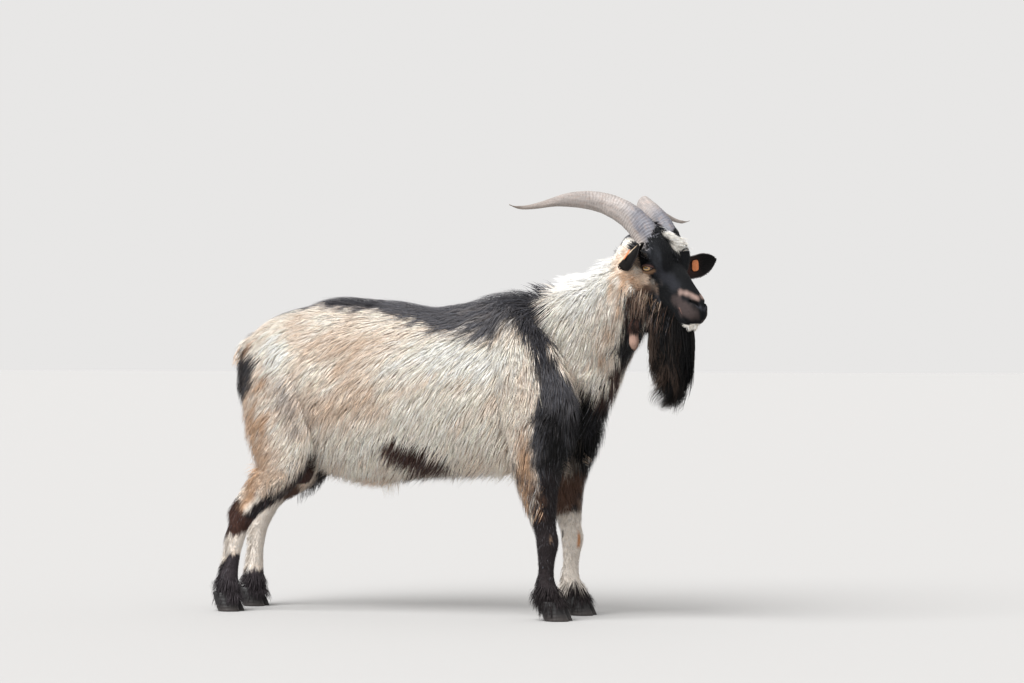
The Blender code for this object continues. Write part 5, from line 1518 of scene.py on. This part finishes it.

# beard, crest and ears' hair

# the beard's streak is the grey of a painted sheen on its black strands
beardPlan = dict(locks=2900, clumps=90, steps=9, wide=0.0020, hang=0.42, own=0.24, sway=(7.0, 0.26),
                 flare=0.11, black="#040405", streak="#474643", brown="#7C675A", seed=21)


def lockTubes(paths, width, colour, tipColour, patch):
    # three-sided tubes along many paths at once: width times
    # 1 - s to the 2.2, narrowed at the root, to a point
    s = np.linspace(0, 1, paths.shape[1])
    tangent = unit(np.gradient(paths, axis=1))
    side = unit(np.cross(tangent, np.array([0.31, 0.22, 0.92])))
    other = np.cross(tangent, side)
    breadth = (width[:, None] * (0.45 + 0.55 * np.minimum(s * 6, 1)) * (1 - s**2.2))[..., None] / 2
    rings = np.stack([paths + breadth * (side * math.cos(a) + other * math.sin(a))
                      for a in (0, 2.09, 4.19)], 2)[:, :-1]
    shape, shade, patches = spikes(rings, paths[:, -1], s, colour, tipColour, patch)
    return outward(shape), shade, patches


def growBeard():
    # a lock keeps its place in the beard's rings, from its
    # root's level down to its own tip's, and waves a little
    source, plan = np.random.default_rng(beardPlan["seed"]), beardPlan
    part = makePart(beardRows, fromChin, steps=12)
    count, clumps, last = plan["locks"], plan["clumps"], len(part["centre"]) - 1
    clump = source.integers(0, clumps, count)
    heading, far = source.uniform(0, 2 * math.pi, clumps), np.sqrt(source.uniform(0.05, 1, clumps)) * 0.92
    middle = np.stack([far * np.cos(heading), far * np.sin(heading)], -1)
    own = source.normal(0, plan["own"], (count, 2))
    start = source.uniform(0.0, 0.24, count)
    # a clump keeps its width below the beard's widest ring, and ends about where the outline draws in to it
    rings, mean = np.linspace(0, 1, last + 1), part["size"].mean(1)
    drawn = np.minimum(mean / np.interp(plan["hang"], rings, mean), 1)[rings >= plan["hang"]]
    reach = np.interp(far, drawn[::-1], rings[rings >= plan["hang"]][::-1])
    finish = (reach + source.normal(0.03, 0.08, clumps))[clump] + source.normal(0, 0.05, count)
    finish = np.clip(finish, start + 0.2, 1)
    s = np.linspace(0, 1, plan["steps"])
    place = (start[:, None] + (finish - start)[:, None] * s) * last

    def at(key, place):
        # a ring's value part of the way to the next one
        low = np.minimum(place.astype(int), last - 1)
        share = (place - low)[..., None]
        return part[key][low] * (1 - share) + part[key][low + 1] * share

    centre, side, up = (at(key, place) for key in ("centre", "side", "up"))
    size = at("size", np.minimum(place, plan["hang"] * last))
    # each keeps its own place about its clump's middle, drawing in towards it, the clump swaying as a sine
    phase = source.uniform(0, 6.3, (clumps, 2))[clump]
    sway = np.sin(s[:, None] * plan["sway"][0] + phase[:, None]) * plan["sway"][1] * s[:, None]
    flat = middle[clump][:, None] + own[:, None] * (1.1 - 0.95 * s[:, None] ** 1.2) + sway
    flat += source.normal(0, plan["flare"], (count, 1, 2)) * s[:, None] ** 2
    outline = 0.94 + 0.26 * s[:, None] * np.sin(phase[:, None, :1]) ** 2
    flat /= np.maximum(np.linalg.norm(flat, axis=-1, keepdims=True) / outline, 1)
    wide, tall = flat[..., 0], flat[..., 1]
    tallSize = np.where(tall > 0, size[..., 1], size[..., 2])
    paths = centre + side * (wide * size[..., 0])[..., None] + up * (tall * tallSize)[..., None]
    black, streak, brown = (linear(plan[key]) for key in ("black", "streak", "brown"))
    # painted sheen: grey strands mixed into the black
    mix = np.clip(source.normal(-0.38, 0.25, clumps)[clump] + source.normal(0, 0.25, count), 0, 0.9)
    mix *= np.clip(0.7 - tall.mean(1) * 0.7, 0.1, 1)
    colour = black + (streak - black) * mix[:, None]
    browned = source.normal(-0.12, 0.25, clumps)[clump] + 0.9 * (middle[clump, 1] < -0.45)
    # painted shade deep in the beard: tips lighter than the roots, and browned, their own colour
    tip = colour * 1.25 + (brown - colour) * np.clip(browned, 0, 1)[:, None] * 0.75
    patch = fitted(np.stack([np.arctan2(tall[:, 0], wide[:, 0]) * 0.03, start * 0.25], -1))
    width = source.uniform(0.7, 1.25, count) * plan["wide"]
    hairPiece("beard_locks", "black_coat", lockTubes(paths, width, colour, tip, patch), ["beard"])


crestPlan = dict(count=2100, levels=6, length=0.050, stand=0.72, back=0.22, sag=0.24, seed=5)


def growCrest():
    # long wisps from the top of the neck: up and back by their length, bending over under their weight
    source, part, plan = np.random.default_rng(crestPlan["seed"]), fleshParts["neck"], crestPlan
    count = plan["count"]
    low = (source.uniform(0.10, 0.97, count) * (len(part["centre"]) - 1)).astype(int)
    angle = math.pi / 2 + source.normal(0, 0.55, count)
    centre, side, up, size, tangent = (part[key][low] for key in ("centre", "side", "up", "size", "tangent"))
    cosine, sine = np.cos(angle), np.sin(angle)
    normal = unit(side * cosine[:, None] + up * sine[:, None])
    roots = centre + side * (size[:, 0] * cosine)[:, None] + up * (size[:, 1] * sine)[:, None]
    roots = roots + tangent * source.uniform(-0.006, 0.006, count)[:, None]
    clump = ripple(roots, 0.03, 14)
    length = plan["length"] + 0.014 * clump + source.uniform(-0.012, 0.014, count)
    length = length * np.clip(1.15 - np.abs(angle - math.pi / 2), 0.5, 1)
    stand = np.clip(plan["stand"] + 0.30 * clump + source.normal(0, 0.16, count), 0.2, 0.95)[:, None]
    aim = unit(-tangent * (1 - stand) + normal * stand + side * source.normal(0, 0.14, count)[:, None])
    s = np.linspace(0, 1, plan["levels"])
    paths = (roots - normal * 0.004)[:, None] + aim[:, None] * (length[:, None] * s)[..., None]
    paths = paths - tangent[:, None] * (length[:, None] * plan["back"] * s**2)[..., None]
    paths[..., 2] -= length[:, None] * plan["sag"] * s**2
    colour = paintMarkings(roots) * tones(source, count, 0.12, 0.6, 1.4)
    patch = fitted(np.stack([part["run"][low], angle * 0.07], -1))
    width = source.uniform(0.0010, 0.0022, count)
    # painted shade deep in the crest: roots darker than the tips
    hair = lockTubes(paths, width, np.clip(colour, 0, 0.95) * 0.85, np.clip(colour * 1.25 + 0.01, 0, 0.97),
                     patch)
    hairPiece("coat_crest", "cream_coat", hair)


earHairPlan = dict(count=2600, seed=17, inside=dict(share=0.28, length=0.0090, depth=0.0024),
                   back=dict(share=1.0, length=0.0070, depth=0.0015))


def growEarHair():
    # short tufts along each ear's back, and longer, sparser
    # ones in its hollow, both shorter at its edges and tip
    source, count = np.random.default_rng(earHairPlan["seed"]), earHairPlan["count"]

    def byWall(back, key):
        return np.where(back > 0.5, earHairPlan["back"][key], earHairPlan["inside"][key])

    for sideName, (grid, place) in earGrids.items():
        vertices, quads, fans = outward(closedGrid(grid))
        triangles = asTriangles(quads)
        a, b, c = (vertices[triangles[:, k]] for k in range(3))
        normals = np.zeros_like(vertices)
        for k in range(3):
            np.add.at(normals, triangles[:, k], np.cross(b - a, c - a))
        normals = unit(normals)[:len(place)]
        root, along, across, opening = earAxes(earPlan[sideName])
        dense = byWall(place[:, 2], "share") * (place[:, 0] > 0.04)
        face, share = scatter(triangles, vertices, np.append(dense, [0, 0]), count, source)
        roots, normal, own = (blendAt(field, triangles, face, share) for field in (
            vertices, np.vstack([normals, normals[:2]]), np.vstack([place, place[:2]])))
        lie = along + across * (own[:, 1:2] * 0.25) + source.normal(0, 0.10, (count, 3))
        edge = np.clip(1.25 - np.abs(own[:, 1]) * 0.7, 0.5, 1) * np.clip(1.6 - own[:, 0], 0.5, 1)
        length = byWall(own[:, 2], "length") * source.uniform(0.7, 1.3, count) * edge
        depth = byWall(own[:, 2], "depth") * source.uniform(0.7, 1.3, count) * edge
        colour = earColour(sideName, own) * tones(source, count, 0.12, 0.6, 1.4)
        patch = fitted(own[:, :2] * (earPlan["length"], 0.03))
        width = source.uniform(0.0011, 0.0018, count)
        # painted shade deep in the ears' hair: tips lighter than the roots
        tip = np.clip(colour * 1.2 + 0.002, 0, 0.95)
        hair = growTufts(roots, unit(normal), lie, length, depth, width, colour, tip, patch, source)
        hairPiece("coat_ear_" + sideName, "black_coat", hair)


fringes = [
    # name, axes, side, locks, length, breadth, stand, chain of places, aim and shades, sizes in
    # millimetres; without shades it takes the markings'
    ("thigh", "body", "both", 260, 48, 14, 0.35, [(-225, 110, 410), (-245, 110, 350), (-300, 110, 285)],
     (-0.35, 0, -1), ("legBlack", "black", "darkBrown")),
    ("groin", "body", "right", 70, 48, 8, 0.3, [(-238, 130, 435), (-240, 120, 375)], (-0.25, 0, -1),
     ("pale", "cream")),
    ("elbow", "body", "both", 240, 46, 16, 0.4, [(375, 140, 360), (385, 130, 310), (395, 120, 265)],
     (-0.25, 0, -1), ("steel", "brown", "tan", "legBlack", "brown", "darkBrown", "pale")),
    ("sheath", "body", "both", 16, 60, 10, 0.05, [(-60, 10, 330), (0, 10, 340)], (0.12, 0, -1),
     ("pale", "cream")),
    ("brisket", "body", "both", 12, 36, 6, 0.9, [(500, 20, 375), (490, 30, 350)], (0.8, 0, -0.5),
     ("pale", "sand")),
    ("chest", "body", "both", 220, 50, 30, 0.35, [(530, 40, 540), (510, 50, 460), (480, 70, 370)],
     (0.1, 0, -1), ("black", "black", "slate")),
    ("tail", "body", "both", 150, 42, 10, 1, [(-405, 12, 668), (-424, 12, 640), (-430, 10, 625)],
     (-0.45, 0, -1), ("pale", "sand", "cream", "tan")),
    ("tailTip", "body", "both", 60, 45, 7, 0.3, [(-412, 8, 580), (-408, 6, 560)], (0.05, 0, -1),
     ("pale", "sand")),
    ("hock", "body", "both", 420, 36, 11, 0.75, [(-430, 85, 205), (-445, 85, 140), (-448, 85, 80)],
     (-0.3, 0, -1), None),
    ("fetlock", "body", "both", 150, 24, 10, 0.6, [(375, 90, 100), (380, 90, 65)], (-0.25, 0, -1), None),
    # the jaw's and throat's locks take in the chest's black, darkened as painted shade
    ("jaw", "head", "both", 440, 80, 12, 0.45, [(85, 50, -85), (130, 42, -78), (170, 34, -68),
     (200, 30, -62)], (-0.14, 0, -1),
     ("chestShadeBlack", "black", "faceBlack", "ash", "steel", "chestShadeBlack", "brown")),
    ("throat", "body", "both", 260, 42, 10, 0.95, [(610, 66, 712), (628, 68, 708), (642, 60, 720)],
     (0, 0, -1), ("black", "chestShadeBlack", "darkBrown")),
    ("cheek", "head", "both", 320, 42, 11, 0.2, [(85, 55, -90), (115, 48, -88), (145, 42, -74)],
     (-0.2, 0, -1), ("tan", "ash", "steel", "sand", "brown", "sand", "tan")),
    ("forelock", "head", "left", 330, 32, 9, 1.1, [(48, 4, 68), (70, 12, 66), (90, 22, 60)],
     (0.8, 0.25, -0.4), ("white", "white", "pale")),
    ("chin", "head", "both", 120, 14, 3, 0.15, [(259, 12, -52), (268, 2, -46)], (-0.25, 0, -1),
     ("white", "pale", "cream")),
]


def growFringes():
    # a band of locks: each starts at the skin point nearest its own place on
    # the chain, sets off between the aim and the skin's normal, sags by its
    # length times s squared, and draws in to the mean tip of its clump of nine
    source = np.random.default_rng(33)
    s = np.linspace(0, 1, 6)
    for name, axes, side, count, long, breadth, stand, chain, aim, shades in fringes:
        for sideName, flip in sides:
            if side not in ("both", sideName):
                continue
            knots = np.array(chain) / 1000 * (1, flip, 1)
            way = np.array(aim, float) * (1, flip, 1)
            if axes == "head":
                knots, way = onHead(knots), levelWithHead(way)
            else:
                knots[:, 1] += np.interp(knots[:, 0], *neckMiddle)
            way = unit(way)
            place = np.sort(source.uniform(0, len(knots) - 1, count))
            low = np.minimum(place.astype(int), len(knots) - 2)
            wanted = knots[low] + (knots[low + 1] - knots[low]) * (place - low)[:, None]
            wanted = wanted + source.normal(0, breadth / 1000, (count, 3))
            near = np.flatnonzero(np.linalg.norm(skinPlaces - knots.mean(0), axis=1) < 0.16)
            closest = near[((skinPlaces[near][None] - wanted[:, None]) ** 2).sum(-1).argmin(1)]
            normals = skinNormals[closest]
            roots = skinPlaces[closest] + source.normal(0, 0.0015, (count, 3))
            length = long / 1000 * source.uniform(0.6, 1.15, count)
            setting = unit(way + normals * stand + source.normal(0, 0.12, (count, 3)))
            paths = (roots - normals * 0.002)[:, None] + setting[:, None] * (length[:, None] * s)[..., None]
            paths += (way - setting)[:, None] * (length[:, None] * 0.45 * s**2)[..., None]
            clump = np.arange(count) // 9
            tips = np.stack([np.bincount(clump, paths[:, -1, k]) / np.bincount(clump) for k in range(3)],
                            -1)[clump]
            paths += (tips - paths[:, -1])[:, None] * (0.5 * s**1.5)[:, None]
            if shades is None:
                colour = paintMarkings(roots)
            else:
                chosen = source.integers(0, len(shades), clump[-1] + 1)[clump]
                colour = np.array([coatShades[shade] for shade in shades])[chosen]
            colour = colour * tones(source, count, 0.18, 0.5, 1.5)
            patch = fitted(np.stack([place * 0.05, (roots * unit(np.array([0.3, 1.0, 0.2]))).sum(1)], -1))
            width = source.uniform(0.0007, 0.0015, count)
            # painted shade deep in each fringe: roots darker than the tips
            hair = lockTubes(paths, width, np.clip(colour, 0, 0.95) * 0.9,
                             np.clip(colour * 1.15 + 0.002, 0, 0.97), patch)
            hairPiece(f"coat_{name}_{sideName}", "black_coat", hair)


feetPlan = dict(count=3000, band=(0.040, 0.085), length=(0.024, 0.044), depth=(0.007, 0.013),
                width=(0.0016, 0.0030), seed=44)
# top and cornerTop count the horn's rings that the hair reaches, in front and at the band's edges
hornFootPlan = dict(count=900, aside=0.28, top=31, cornerTop=11, length=(0.010, 0.019),
                    depth=(0.0014, 0.0036), width=(0.0012, 0.0020), seed=55)


def growFeet():
    # hair hanging from each pastern over the top of the hoof, fullest at the heel
    source, plan = np.random.default_rng(feetPlan["seed"]), feetPlan
    count, low, high = plan["count"], *plan["band"]
    chosen = source.choice(np.flatnonzero((skinPlaces[:, 2] > low) & (skinPlaces[:, 2] < high)), count)
    roots, normals = skinPlaces[chosen] + source.normal(0, 0.001, (count, 3)), skinNormals[chosen]
    colour = paintMarkings(roots) * tones(source, count, 0.15, 0.5, 1.5)
    lie = np.array([-0.15, 0, -1.0]) + normals * 0.2 + source.normal(0, 0.10, (count, 3))
    patch = fitted(np.stack([roots[:, 0] + roots[:, 1], roots[:, 2]], -1))
    length, depth, width = (source.uniform(*plan[key], count) for key in ("length", "depth", "width"))
    depth = depth * (1 + np.clip(-normals[:, 0], 0, 1))
    # painted shade deep in the hair over the hooves: roots darker than the tips
    hair = growTufts(roots, normals, lie, length, depth, width, colour * 0.9, colour * 1.15, patch, source)
    hairPiece("coat_over_hooves", "black_coat", hair)


def growHornFeet():
    # black hair lying up the front of each horn, its roots on the horn's own rings at the skin
    source, plan = np.random.default_rng(hornFootPlan["seed"]), hornFootPlan
    for sideName, flip in sides:
        grid, count = hornShape(flip)[0], plan["count"]
        aside = np.clip(source.normal(0, 0.13, count), -plan["aside"], plan["aside"])
        top = plan["top"] - (plan["top"] - plan["cornerTop"]) * np.abs(aside) / plan["aside"]
        ring = np.round(top * source.uniform(0, 1, count) ** 0.6).astype(int)
        turn = np.round((0.75 + aside) * hornPlan["around"]).astype(int) % hornPlan["around"]
        roots, normals = grid[ring, turn], unit(grid[ring, turn] - grid[ring].mean(1))
        aim = unit(grid[ring + 14].mean(1) - grid[ring - 4].mean(1)) + source.normal(0, 0.09, (count, 3))
        colour = coatShades["faceBlack"] * tones(source, count, 0.4, 0.5, 3)
        patch = fitted(np.stack([turn * 0.002, ring * 0.0015], -1))
        length, depth, width = (source.uniform(*plan[key], count) for key in ("length", "depth", "width"))
        # painted shade deep in the hair: tips lighter than the roots
        hair = growTufts(roots, normals, aim, length, depth, width, colour, colour * 1.2, patch, source)
        hairPiece("coat_horn_foot_" + sideName, "black_coat", hair)


growBeard()
growHornFeet()
growCrest()
growEarHair()
growFringes()
growFeet()
stage("beard, crest, fringes, feet and ears' hair")

# the skin and the frame
bpy.ops.object.select_all(action="DESELECT")
for obj in (*lidPieces, skin):
    obj.select_set(True)
bpy.context.view_layer.objects.active = skin
bpy.ops.object.join()
places, normals = meshArrays(skin.data)
skin.data.vertices.foreach_set("co", (places + modelShift).astype(np.float32).reshape(-1))
skin.data.update()
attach(skin, "root")
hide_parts("head", "neck", "trunk", "tail", "scrotum", "foreleg_left", "foreleg_right", "hindleg_left",
            "hindleg_right", "wattle_left", "wattle_right", "ear_left", "ear_right")

# floor, light and camera

stagePlan = dict(size=60.0, floor="#AAA9A8", sky="#EBEAE9", skyStrength=0.97, sun=5.0, sunSpread=50)
# the lens gives each metre at the goat, eight metres off, 413 parts of the view's width of 1024
cameraPlan = dict(right=(0.940, 0.342, 0), back=(0.342, -0.940, 0), aside=0.266, away=8, height=0.657,
                  perMetre=413, viewWidth=1024, sensor=36)


def makeStage():
    size = stagePlan["size"]
    corners = np.array([(-size, -size, 0), (size, -size, 0), (size, size, 0), (-size, size, 0)], float)
    floor = newPiece("floor", (corners, np.array([[0, 1, 2, 3]]), np.zeros((0, 3), int)), move=False)
    finish = {"Base Color": (*linear(stagePlan["floor"]), 1), "Roughness": 0.9}
    floor.data.materials.append(newMaterial("paleFloor", finish)[0])
    world = bpy.data.worlds.new("studio")
    bpy.context.scene.world = world
    world.use_nodes = True
    sky = world.node_tree.nodes["Background"]
    sky.inputs["Color"].default_value = (*linear(stagePlan["sky"]), 1)
    sky.inputs["Strength"].default_value = stagePlan["skyStrength"]
    sun = bpy.data.lights.new("softSun", "SUN")
    sun.energy, sun.angle = stagePlan["sun"], math.radians(stagePlan["sunSpread"])
    lamp = bpy.data.objects.new("softSun", sun)
    lamp.rotation_euler = Vector((-0.35, -0.85, 1.05)).to_track_quat("Z", "Y").to_euler()
    bpy.context.scene.collection.objects.link(lamp)


def makeCamera():
    plan = cameraPlan
    right, back = np.array(plan["right"]), np.array(plan["back"])
    place = right * plan["aside"] + back * plan["away"] + np.array([0, 0, plan["height"]])
    place = place + modelShift * (1, 1, 0)
    data = bpy.data.cameras.new("camera")
    data.lens = plan["perMetre"] * plan["away"] / plan["viewWidth"] * plan["sensor"]
    camera = bpy.data.objects.new("camera", data)
    camera.location = place
    camera.rotation_euler = Vector(-back).to_track_quat("-Z", "Y").to_euler()
    bpy.context.scene.collection.objects.link(camera)
    bpy.context.scene.camera = camera


makeStage()
makeCamera()
bpy.context.scene.view_settings.view_transform = "Standard"

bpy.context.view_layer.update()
stage("done")
